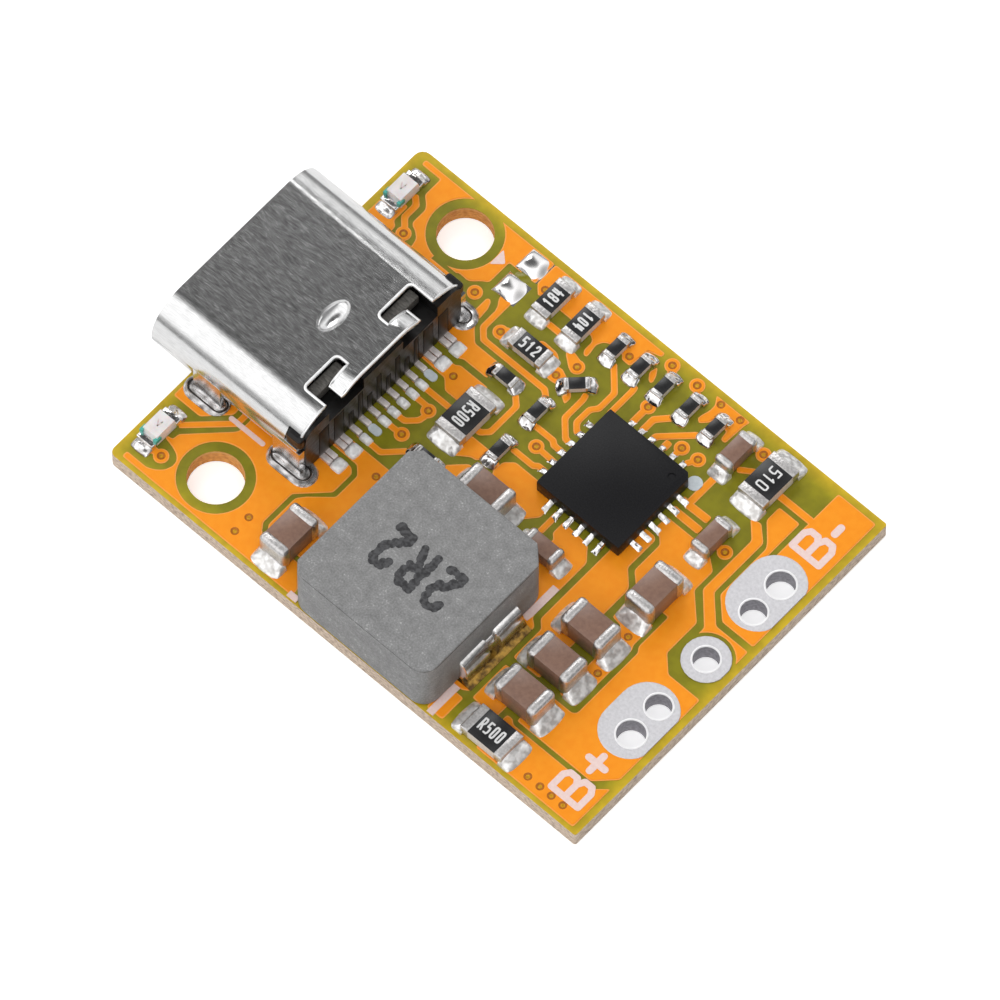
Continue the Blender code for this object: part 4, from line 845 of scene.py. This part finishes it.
def ring_round_bore(bore, base, section):
    """A ring round a wire hole, through a section of distances out from the wall and heights over a base."""
    x, y, clearing = bore
    wall = clearing - LIP_INSIDE_CLEARANCE
    return lofted([level(circle(x, y, wall + out, 40), base + up) for out, up in section], ring=True)


foot = copper_layer(0.0, DECK - 0.02, DECK + COPPER * 0.5, VIA_DRILL - 0.02)
crown = copper_layer(EDGE_SLOPE, DECK - 0.02, DECK + COPPER, VIA_DRILL + 0.02)
piece("copper_edge_highlights", [(foot, copper_edge_highlight)])
piece("copper_pours", [(crown, copper_face)])
plugs = []
for x, y in RINGED_VIAS + POUR_VIAS:
    sag = [level(circle(x, y, radius, 18), DECK + height) for radius, height in VIA_SAG]
    plugs.append((lofted(sag), via_rim_shade))
    plugs.append((slab(circle(x, y, VIA_POOL, 14), DECK, DECK + COPPER * 0.35), via_fill))
piece("via_plugs", plugs)

# The lip round each wire hole stands a little proud of the tinned pad.
PAD_TOP = box_mm("battery_centre_terminal")[1].z
LIP_SECTION = ((0.08, -0.01), (0.07, 0.012), (0.04, 0.02), (0.005, 0.012), (-0.004, -0.02), (0.04, -0.02))
for node, bores in (("battery_negative_terminal", WIRE_BORES[:2]), ("battery_centre_terminal", WIRE_BORES[2:3]),
                    ("battery_positive_terminal", WIRE_BORES[3:])):
    lips = [(ring_round_bore(bore, PAD_TOP, LIP_SECTION), lip) for bore in bores]
    piece("lips_of_" + node, lips)


# The underside has one broad pour, clear of the screw holes, the leg slots and the wire pads, and a tinned ring
# round each wire hole.
UNDERSIDE = 0.01
UNDERSIDE_MARGIN = 0.35
UNDERSIDE_CORNER = 0.4
LAND_CLEARANCE = 0.15
outline = rectangle(BOARD_LOW.x + UNDERSIDE_MARGIN, RIGHT_X, BOARD_LOW.y + UNDERSIDE_MARGIN, TOP_Y, UNDERSIDE_CORNER)
lower_pour = slab(outline, -UNDERSIDE, 0.01)
openings = [circle(HOLE_X, y, HOLE_CLEARANCE, 48) for y in (HOLE_UPPER_Y, HOLE_LOWER_Y)]
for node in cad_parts:
    if node.startswith(("leg_eyelet", "battery_")):
        low, high = box_mm(node)
        margin = Vector((LAND_CLEARANCE,) * 3)
        low, high = low - margin, high + margin
        radius = min(high.x - low.x, high.y - low.y) / 2 - 0.01
        openings.append(rectangle(low.x, high.x, low.y, high.y, radius))
lower_pour = combined(lower_pour, [slab(opening, -1, 1) for opening in openings], "DIFFERENCE")
piece("underside_pour", [(lower_pour, copper_face)])
UNDERSIDE_SECTION = ((0.0, 0.005), (0.0, -UNDERSIDE), (0.14, -UNDERSIDE), (0.14, 0.005))
rings = [(ring_round_bore(bore, 0.0, UNDERSIDE_SECTION), tin) for bore in WIRE_BORES]
piece("underside_rings", rings)


# Each sign is drawn as strokes on a cell one wide and one high.
SIGNS = {
    "0": [[(0.2, 0), (0.8, 0), (1, 0.12), (1, 0.88), (0.8, 1), (0.2, 1), (0, 0.88), (0, 0.12), (0.2, 0)]],
    "1": [[(0.5, 0), (0.5, 1), (0.15, 0.8)]],
    "2": [[(0, 0.8), (0.2, 1), (0.8, 1), (1, 0.85), (1, 0.6), (0, 0.12), (0, 0), (1, 0)]],
    "4": [[(0, 1), (0, 0.34), (1, 0.34)], [(0.72, 1), (0.72, 0)]],
    "5": [[(1, 1), (0.05, 1), (0, 0.55), (0.8, 0.58), (1, 0.42), (1, 0.14), (0.8, 0), (0, 0)]],
    "8": [[(0.2, 0.5), (0.8, 0.5), (1, 0.38), (1, 0.12), (0.8, 0), (0.2, 0), (0, 0.12), (0, 0.38), (0.2, 0.5),
           (0, 0.62), (0, 0.88), (0.2, 1), (0.8, 1), (1, 0.88), (1, 0.62), (0.8, 0.5)]],
    "R": [[(0, 0), (0, 1), (0.75, 1), (1, 0.88), (1, 0.62), (0.75, 0.5), (0, 0.5)], [(0.45, 0.5), (1, 0)]],
    "B": [[(0, 0), (0, 1), (0.7, 1), (0.92, 0.88), (0.92, 0.62), (0.7, 0.5), (0, 0.5)],
          [(0.7, 0.5), (1, 0.38), (1, 0.12), (0.75, 0), (0, 0)]],
}


def dotted(start, end, width, low, high):
    """A stroke burnt as a row of overlapping dots, each a little off the line."""
    way = Vector(end) - Vector(start)
    count = max(2, round(way.length / (width * 0.4)))
    dots = []
    for i in range(count + 1):
        spot = Vector(start) + way * i / count
        off = noise.noise((spot.x * 9, spot.y * 9, 0.5)) * width * 0.35
        radius = width * (0.5 + 0.16 * noise.noise((spot.x * 7, spot.y * 7, 4.5)))
        dots.append(slab(circle(spot.x + off, spot.y - off, radius, 14), low, high))
    return dots


def lettering(text, width, height, line, thickness, gap=0.35, burnt=False):
    """Raised strokes that spell a text, centred on the origin and read along X."""
    cell = width / (len(text) + gap * (len(text) - 1))
    bars = []
    for index, sign in enumerate(text):
        left = -width / 2 + index * cell * (1 + gap) + line / 2
        for path in SIGNS[sign]:
            points = [(left + x * (cell - line), (y - 0.5) * (height - line)) for x, y in path]
            for a, b in zip(points, points[1:]):
                bars += dotted(a, b, line, 0, thickness) if burnt else [capsule(a, b, line, 0, thickness)]
    return combined(bars[0], bars[1:], "UNION")


# The ink sinks a little into the coating over the copper.
on_copper = DECK + COPPER - 0.002
print_top = on_copper + PRINT_THICKNESS
LETTER_SIZE = (1.2, 1.55)
LETTER_STROKE = 0.26
letters = [put(lettering("B", *LETTER_SIZE, LETTER_STROKE, PRINT_THICKNESS), x, y, on_copper, 90)
           for x, y in ((10.07, 5.95), (10.11, -7.08))]
dash = slab(rectangle(10.14, 10.44, 6.69, 7.32, 0.14), on_copper, print_top)
plus = combined(slab(rectangle(9.56, 10.6, -5.92, -5.64, 0.13), on_copper, print_top),
                [slab(rectangle(9.94, 10.22, -6.31, -5.26, 0.13), on_copper, print_top)], "UNION")
arrow = slab(softened([(-6.37, 7.32), (-6.37, 6.53), (-5.93, 6.92)], 0.08), on_copper, print_top)
socket_line = slab(rectangle(-9.15, -7.42, -4.54, -4.34, 0.09), DECK, print_top)
strips = [slab(outline, DECK, print_top) for outline in (
    [(4.12, -1.55), (4.42, -1.55), (4.42, -3.0), (4.38, -3.25), (4.12, -3.25)],
    [(4.12, -6.88), (4.42, -6.88), (4.42, -8.35), (4.12, -8.35)],
    [(-2.75, -8.1), (-2.3, -8.1), (-2.3, -8.35), (-2.75, -8.35)])]
piece("battery_print_marks", [(mark, ink) for mark in letters + [dash, plus]])
piece("board_print_marks", [(mark, ink) for mark in [arrow, socket_line] + strips])
pin_one = slab(circle(5.155, 4.95, 0.3, 28), DECK, DECK + COPPER)
blobs = [slab(rectangle(-5.16, -4.6, y - 0.17, y + 0.17, 0.15), DECK, DECK + 0.06) for y in (1.73, -1.27)]
piece("olive_print_marks", [(mark, ink_on_olive) for mark in [pin_one] + blobs])


KINDS = {
    # length, width, height, end cap, span and width of the lands, height of the solder
    "resistor_0402": (1.0, 0.5, 0.34, 0.22, 1.62, 0.74, 0.31),
    "resistor_0603": (1.6, 0.8, 0.45, 0.3, 2.38, 0.95, 0.3),
    "resistor_0805": (2.0, 1.25, 0.55, 0.38, 3.0, 1.4, 0.35),
    "capacitor_0603": (1.6, 0.8, 0.8, 0.36, 2.4, 0.86, 0.42),
    "capacitor_0805": (2.0, 1.25, 1.25, 0.46, 3.0, 1.4, 0.5),
    "indicator": (1.6, 0.8, 0.32, 0.3, 2.35, 0.84, 0.2),
}
CODES = {
    # text, its turn, width and height, and width of its strokes
    "resistor_0603_1": ("184", 90, 0.76, 0.5, 0.08),
    "resistor_0603_2": ("104", 270, 0.74, 0.48, 0.08),
    "resistor_0603_3": ("512", 0, 0.8, 0.5, 0.08),
    "resistor_0805_1": ("510", 270, 0.98, 0.54, 0.07),
    "resistor_0805_2": ("R500", 270, 1.04, 0.55, 0.078),
    "resistor_0805_3": ("R500", 0, 1.04, 0.55, 0.078),
}
TURNED = {"resistor_0402_9": 45}


def wetting(length, width, height, side, seed, roundness):
    """Solder from a chip's end to the edge of its land: it climbs the end, bulges and turns down steeply, and its
    plan is rounded towards the outer end."""
    def height_at(u, v):
        along = (1 + side * u) / 2
        climb = (1 - along) ** 1.3
        bulge = (1 - along ** 4) ** 0.5
        across = (1 - abs(v) ** 3) ** 0.5
        swell = noise.noise((u * 1.1 + seed, v * 1.3, seed * 0.37))
        return (0.12 + (height - 0.08) * climb + 0.06 * swell) * bulge * across

    return mound(length, width, height_at, bow=lambda u: roundness * max(0.0, side * u))


def chip(node):
    kind = node.rsplit("_", 1)[0] if node[-1].isdigit() else "indicator"
    length, width, height, cap, span, land_width, solder_height = KINDS[kind]
    low, high = box_mm(node)
    size = high - low
    middle = middle_of(node)
    turn = TURNED.get(node, 0 if size.x > size.y else 90)
    half = length / 2
    seed = sum(ord(letter) for letter in node) % 97
    parts = []
    edge = 0.17 if kind.startswith("capacitor") else 0.05

    def ceramic(in_x, in_y, bottom, top, rounding=0.0):
        """A block drawn in from the chip's ends and sides."""
        return block((in_x - half, in_y - width / 2, bottom), (half - in_x, width / 2 - in_y, top), rounding)

    if kind.startswith("resistor"):
        parts.append((ceramic(0.02, 0.01, 0.05, height - 0.03), alumina))
        parts.append((ceramic(cap - 0.02, 0.015, height - 0.04, height, 0.012), glaze))
    elif kind.startswith("capacitor"):
        parts.append((ceramic(0.05, 0.05, 0.05, height - 0.05, 0.05), taupe))
    else:
        parts.append((ceramic(0.03, 0.02, 0.05, height - 0.02), laminate_white))
        for side in (1, -1):
            mark = [(-0.6, side * 0.41), (-0.3, side * 0.41), (-0.42, side * 0.3), (-0.6, side * 0.26)]
            parts.append((slab(mark, height - 0.03, height + 0.2), teal))
        for a, b in (((-0.1, -0.02), (0.1, -0.06)), ((-0.1, -0.02), (0.12, 0.12)), ((0.1, -0.06), (0.16, -0.05))):
            parts.append((capsule(a, b, 0.05, height + 0.2, height + 0.282), lens_core))
    top = height - 0.008 if kind.startswith("resistor") else height
    for side in (1, -1):
        ends = sorted((side * (half - cap), side * half))
        cap_finish = solder if kind == "indicator" else termination
        parts.append((block((ends[0], -width / 2, 0.03), (ends[1], width / 2, top), edge, 3), cap_finish))
        reach = span / 2 - half + 0.12
        roundness = 0.95 if kind == "resistor_0402" else 0.6
        fillet = wetting(reach, land_width, solder_height, side, seed + side, roundness)
        fillet_finish = solder if kind in ("resistor_0402", "indicator") else grained_solder
        parts.append((put(fillet, side * (half - 0.12 + reach / 2)), fillet_finish))
    meshes = [(put(mesh, *middle, DECK, turn), finish) for mesh, finish in parts]
    if node in CODES:
        text, code_turn, code_width, code_height, line = CODES[node]
        code = lettering(text, code_width, code_height, line, 0.006)
        meshes.append((put(code, *middle, DECK + height - 0.001, code_turn), code_ink))
    piece("dressed_" + node, meshes, [node])


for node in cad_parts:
    if node.startswith(("resistor", "capacitor")) or node.endswith("_base"):
        chip(node)


CHIP_SIDE = 4.0
CHIP_CORNER_CUT = 0.2
LEADS_A_SIDE = 6
LEAD_PITCH = 0.5
LEAD_SIZE = (0.6, 0.27)
chip_middle = middle_of("charge_controller")
chip_top = box_mm("charge_controller")[1].z - DECK
half = CHIP_SIDE / 2
cut = half - CHIP_CORNER_CUT
body = slab([(-half, -half), (half, -half), (half, cut), (cut, half), (-half, half)], 0.05, chip_top)
solid = bmesh.new()
solid.from_mesh(body)
bmesh.ops.bevel(solid, geom=solid.edges[:], offset=0.04, segments=2, profile=0.5, affect="EDGES")
# A shallow round dimple marks pin one.
DIMPLE_RADIUS = 0.16
DIMPLE_DEPTH = 0.04
dimple = put(slab(circle(0, 0, DIMPLE_RADIUS, 24), 0, 1), half - 0.5, half - 0.55, chip_top - DIMPLE_DEPTH)
body = combined(mesh_from(solid), [dimple], "DIFFERENCE")


def lead_height(key):
    """Height of the solder along one lead, outwards from the chip's side."""
    def height_at(u, v):
        along = (1 + u) / 2
        bumps = 0.06 * noise.noise((u * 1.2 + key, v, key))
        return (0.07 + 0.16 * (1 - along) ** 1.5 + bumps) * (1 - abs(v) ** 4) ** 0.5 * (1 - along ** 8)
    return height_at


leads = []
for quarter in range(4):
    for index in range(LEADS_A_SIDE):
        y = (index - (LEADS_A_SIDE - 1) / 2) * LEAD_PITCH
        lead = put(mound(*LEAD_SIZE, lead_height(index + 7 * quarter), 10, 6), half + 0.2, y)
        leads.append((put(put(lead, turn=90 * quarter), *chip_middle, DECK), solder))
piece("controller_body", [(put(body, *chip_middle, DECK), epoxy)], ["charge_controller"])
piece("controller_leads", leads, ["charge_controller"])

# Inside each notch of the shell the moulding's grained top shows, in the greyer copy of the polymer that stands for
# light falling there.
MOULDING_X = (-6.88, -6.42)
MOULDING_Y = (1.14, 2.82)
for side, name in ((1, "upper"), (-1, "lower")):
    ends = sorted(side * y + SOCKET_Y for y in MOULDING_Y)
    step = block((MOULDING_X[0], ends[0], SHELL_TOP - 0.9), (MOULDING_X[1], ends[1], SHELL_TOP - 0.36), 0.05)
    piece("moulding_in_notch_" + name, [(step, grained_polymer_painted_light)])

# Contacts of the socket: a gilded strip in the mouth, an upright inside its groove, and a flat foot whose end is
# buried in a bead of solder. Each place along X is a back and a front, and heights of the foot are over the board.
STRIP_X = (-11.13, -6.6)
STRIP_FACE = (0.35, 0.42)
UPRIGHT_X = (-5.66, -5.57)
FOOT_X = (-5.66, -5.13)
FOOT_Z = (DECK + 0.02, DECK + 0.19)
PAD_X = (-5.25, -5.0)
PAD_Z = (DECK, DECK + 0.04)
BEAD_X = -4.86
BEAD_LENGTH = 0.52
CONTACT_WIDTH = 0.23
CONTACT_PITCH = 0.5
# Height of the tongue's middle in the mouth.
TONGUE_MIDDLE = 2.4
# Width of each of a power contact's two leads, and how far they stand off its middle.
POWER_LEAD = 0.23
POWER_LEAD_OFF = 0.135
# Middle and width of the foot, middle and width of the strip, and the faces of the tongue that the strip is on.
CONTACTS = []
for side in (1, -1):
    CONTACTS.append((side * 3.2, 0.5, side * 3.0, 0.3, (1, -1)))
    CONTACTS.append((side * 2.4, 0.5, side * 2.4, 0.3, (1, -1)))
for index in range(8):
    middle = (index - 3.5) * CONTACT_PITCH
    CONTACTS.append((middle, CONTACT_WIDTH, middle, 0.2, (1,) if index % 2 else (-1,)))
CONTACTS.sort()
# The pads of these two contacts are partly under a spot of ink.
PRINTED_OVER = (1.75, -1.25)


def bead_height(key):
    """Height of the solder bead on the end of a contact's foot."""
    def height_at(u, v):
        along = (1 + u) / 2
        swell = 0.035 * noise.noise((u * 1.3 + key, v * 0.8, key * 0.7))
        return (0.22 + swell - 0.04 * along) * (1 - abs(u) ** 4) ** 0.5 * (1 - abs(v) ** 3) ** 0.5
    return height_at


def bar(ends, y, width, levels, edge=0.0):
    """A block between two places along X and two heights, centred on y."""
    return block((ends[0], y - width / 2, levels[0]), (ends[1], y + width / 2, levels[1]), edge)


for number, (middle, width, strip_y, strip_width, faces) in enumerate(CONTACTS, 1):
    y = SOCKET_Y + middle
    parts = []
    for face in faces:
        levels = sorted(TONGUE_MIDDLE + face * off for off in STRIP_FACE)
        parts.append((bar(STRIP_X, strip_y + SOCKET_Y, strip_width, levels, 0.02), contact_gilt))
    top = TONGUE_MIDDLE + (0.45 if 1 in faces else -0.32)
    parts.append((bar(UPRIGHT_X, y, width, (DECK + 0.1, top), 0.045), contact_painted_shade))
    # A power contact is two leads side by side.
    powered = width > 0.3
    for off in (-POWER_LEAD_OFF, POWER_LEAD_OFF) if powered else (0.0,):
        parts.append((bar(FOOT_X, y + off, POWER_LEAD if powered else width, FOOT_Z, 0.025), contact_foot))
    parts.append((bar(PAD_X, y, width, PAD_Z), contact_painted_shade))
    if middle not in PRINTED_OVER:
        bead = mound(BEAD_LENGTH, width + 0.1, bead_height(number), 12, 10, bow=lambda u: 0.35 * abs(u))
        parts.append((put(bead, BEAD_X, y, DECK), bead_solder))
    piece(f"dressed_contact_{number:02d}", parts, [f"socket_contact_{number:02d}"])

# Solder round the legs of the shell: a flat tinned rim, a dark groove where it has drawn back, and a bright ring
# that climbs the leg. The shifts say how far the eyelet's middle is off the leg's middle and off the slot's.
LEG_SHIFTS = {"rear": (0.155, 0.055), "front": (-0.115, -0.035)}
SLOT_SIZE = (1.75, 0.6)
LEG_SIZE = (1.32, 0.3)
for node in [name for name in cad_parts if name.startswith("leg_eyelet")]:
    low, high = box_mm(node)
    middle_x, middle_y = middle_of(node)
    to_leg, to_slot = LEG_SHIFTS[node.split("_")[2]]
    seed = middle_x * 3 + middle_y

    def loops(x, size, section, wobble=0.02):
        """Loops round a stadium shape, through a section of insets and heights."""
        return [level(stadium(x, middle_y, size[0] - 2 * inset, size[1] - 2 * inset), DECK + height, wobble, seed)
                for inset, height in section]

    slot_x, leg_x = middle_x - to_slot, middle_x - to_leg
    rim = loops(middle_x, (high.x - low.x, high.y - low.y), ((0.0, 0.0), (0.0, 0.06), (0.05, 0.12)))
    rim += loops(slot_x, SLOT_SIZE, ((-0.09, 0.12), (-0.04, 0.09), (-0.02, 0.0)))
    groove = loops(slot_x, SLOT_SIZE, ((-0.06, 0.0), (-0.06, 0.06), (0.14, 0.05), (0.14, 0.0)), 0.0)
    ring = loops(slot_x, SLOT_SIZE, ((0.03, 0.0), (0.03, 0.08), (0.06, 0.12)))
    ring += loops(leg_x, LEG_SIZE, ((-0.03, 0.13), (0.02, 0.22), (0.05, 0.22)))
    parts = [(lofted(rim), rippled_solder), (lofted(groove), groove_dark), (lofted(ring), rippled_solder)]
    piece("solder_round_" + node, parts)


def cushion_height(seed):
    """Height of a solder cushion whose crest lies towards one corner."""
    def height_at(u, v):
        rim = ((1 - abs(u) ** 5) * (1 - abs(v) ** 5)) ** 0.5
        crest = 0.25 - 0.13 * ((u + 0.45) ** 2 + (v + 0.1) ** 2) ** 0.75
        return (crest + 0.03 * noise.noise((u * 1.2 + seed, v * 1.2, seed))) * rim
    return height_at


for seed, node in enumerate(("spare_pad_upper", "spare_pad_lower")):
    low, high = box_mm(node)
    cushion = mound(high.x - low.x, high.y - low.y, cushion_height(seed * 3.1), 24, 24)
    put(cushion, *middle_of(node), DECK)
    piece("solder_on_" + node, [(cushion, pad_solder)], [node])

# Coating that has run together between the two spare pads.
hump = mound(0.75, 0.5, lambda u, v: 0.07 * (1 - u * u) * (1 - v * v), 10, 10, bow=lambda u: 0.9)
piece("coating_hump", [(put(hump, -5.09, 6.97, DECK, 45), mask)])

# The right strap of the inductor is bent down over the core's side, so its top is round; a notch parts it.
STRAP_FACE = box_mm("inductor_core")[1].x
STRAP_BULGE = 0.38
STRAP_BEND = 0.72
STRAP_FOOT = 0.05
low, high = box_mm("inductor_terminal_right")
strap_middle = middle_of("inductor_terminal_right")[1]
half_strap = (high.y - low.y) / 2


def strap_section(y, top, reach):
    """One upright section of the strap, at a distance along it."""
    turn = arc(0, 0, 1, 0, 90, 8)
    bend = [(STRAP_FACE + reach * x, y, top - STRAP_BEND + STRAP_BEND * z) for x, z in turn]
    return [(STRAP_FACE, y, DECK + STRAP_FOOT), (STRAP_FACE + reach, y, DECK + STRAP_FOOT)] + bend


# Place along the strap, drop of the top and bulge of each section, from end to end with the notch between.
sections = []
for off, drop, reach in ((-half_strap, 0.06, 0.25), (0.05 - half_strap, 0.0, STRAP_BULGE),
                         (-0.3, 0.0, STRAP_BULGE), (-0.24, 0.04, 0.27), (-0.16, 0.3, 0.22),
                         (0.16, 0.3, 0.22), (0.24, 0.04, 0.27), (0.3, 0.0, STRAP_BULGE),
                         (half_strap - 0.05, 0.0, STRAP_BULGE), (half_strap, 0.06, 0.25)):
    sections.append(strap_section(strap_middle + off, high.z - drop, reach))
evenly_shaded(piece("dressed_strap", [(lofted(sections), strap)], ["inductor_terminal_right"], 50))

core_x, core_y = middle_of("inductor_core")
value = lettering("2R2", 3.46, 1.95, 0.33, 0.008, 0.28, True)
put(value, core_x + 0.13, core_y - 0.33, CORE_TOP - 0.001, 180)
piece("inductor_marking", [(value, powder_print)])


world = bpy.data.worlds.new("studio")
bpy.context.scene.world = world
world.use_nodes = True
sky = world.node_tree
sky.nodes.clear()
way = add(sky, "TexCoord").outputs["Generated"]
SKY_SHADES = (
    # The patch of sky that flat tops mirror is dark, as under a camera, and white softens in all round it.
    ((-0.296, 0.327, 0.897), ((0.87, "#FFFFFF"), (0.92, "#B0B0B0"), (0.955, "#666666"), (0.985, "#4E4E4E"))),
    # Low down the studio is dim.
    ((0, 0, 1), ((0.0, "#6A6A6A"), (0.2, "#A8A8A8"), (0.38, "#FFFFFF"))),
    # The side away from the camera and the right side are dimmer than the rest.
    ((-0.665, 0.725, 0.181), ((0.5, "#FFFFFF"), (0.85, "#DCDCDC"))),
    ((0.95, 0.31, 0.0), ((0.3, "#FFFFFF"), (0.75, "#8A8A8A"))),
)
shade = "#FFFFFF"
for direction, stops in SKY_SHADES:
    along = add(sky, "VectorMath", {"operation": "DOT_PRODUCT"}, i0=way, i1=direction).outputs["Value"]
    layer = add(sky, "ValToRGB", {"stops": stops}, Fac=along)
    shade = add(sky, "Mix", MULTIPLIED, Factor=1.0, i6=shade, i7=layer).outputs[2]
light = add(sky, "Background", Color=shade, Strength=1.36)
white = add(sky, "Background", Color="#FFFFFF", Strength=1.0)
seen = add(sky, "LightPath").outputs["Is Camera Ray"]
add(sky, "OutputWorld", Surface=add(sky, "MixShader", Fac=seen, i1=light, i2=white))


def soft_lamp(name, place, size, power):
    """A square lamp turned to the module, with its place and size in metres."""
    lamp = bpy.data.lights.new(name, "AREA")
    lamp.size = size
    lamp.energy = power
    thing = bpy.data.objects.new(name, lamp)
    thing.location = place
    thing.rotation_euler = (-Vector(place)).to_track_quat("-Z", "Y").to_euler()
    bpy.context.scene.collection.objects.link(thing)


soft_lamp("left_soft_box", (-0.25, 0.2, 0.3), 0.18, 0.35)
soft_lamp("right_soft_box", (0.3, -0.25, 0.2), 0.15, 0.04)

# Half the floor's width, in metres.
FLOOR_HALF = 3
floor_mesh = bpy.data.meshes.new("floor")
floor_solid = bmesh.new()
bmesh.ops.create_grid(floor_solid, x_segments=1, y_segments=1, size=FLOOR_HALF)
floor_solid.to_mesh(floor_mesh)
floor_solid.free()
floor = bpy.data.objects.new("floor", floor_mesh)
floor.location.z = -0.03 * MM
bpy.context.scene.collection.objects.link(floor)
# White paper: matt, and it glows to the camera and faintly in what mirrors it, so that it stays clean white.
paper, tree, shader = start("white paper", 0.9, Base_Color="#F2F2F2")
rays = add(tree, "LightPath")
seen = add(tree, "Math", {"operation": "MULTIPLY"}, i0=rays.outputs["Is Camera Ray"], i1=0.5)
strength = add(tree, "Math", {"operation": "MULTIPLY_ADD"}, i0=rays.outputs["Is Glossy Ray"], i1=0.15, i2=seen)
glow = add(tree, "Emission", Color="#FFFFFF", Strength=strength)
wired(tree.nodes["Material Output"], Surface=add(tree, "AddShader", i0=shader, i1=glow))
floor_mesh.materials.append(paper)

# The camera's axes and place were fitted to the edges of the board.
CAMERA_RIGHT = Vector((0.7395825, 0.6730648, 0.0012006))
CAMERA_UP = Vector((-0.6043140, 0.6632497, 0.4414798))
CAMERA_BACK = Vector((0.2963482, -0.3272363, 0.8972703))
CAMERA_PLACE = Vector((183.5537, -202.5696, 555.4207)) * MM
CAMERA_LENS = 613.479
camera_data = bpy.data.cameras.new("camera")
camera_data.lens = CAMERA_LENS
camera_data.sensor_width = 36
camera_data.clip_end = 10
camera_data.clip_start = 0.01
camera = bpy.data.objects.new("camera", camera_data)
turned = Matrix((CAMERA_RIGHT, CAMERA_UP, CAMERA_BACK)).transposed().to_4x4()
camera.matrix_world = Matrix.Translation(CAMERA_PLACE) @ turned
bpy.context.scene.collection.objects.link(camera)
bpy.context.scene.camera = camera
bpy.context.scene.view_settings.view_transform = "Standard"
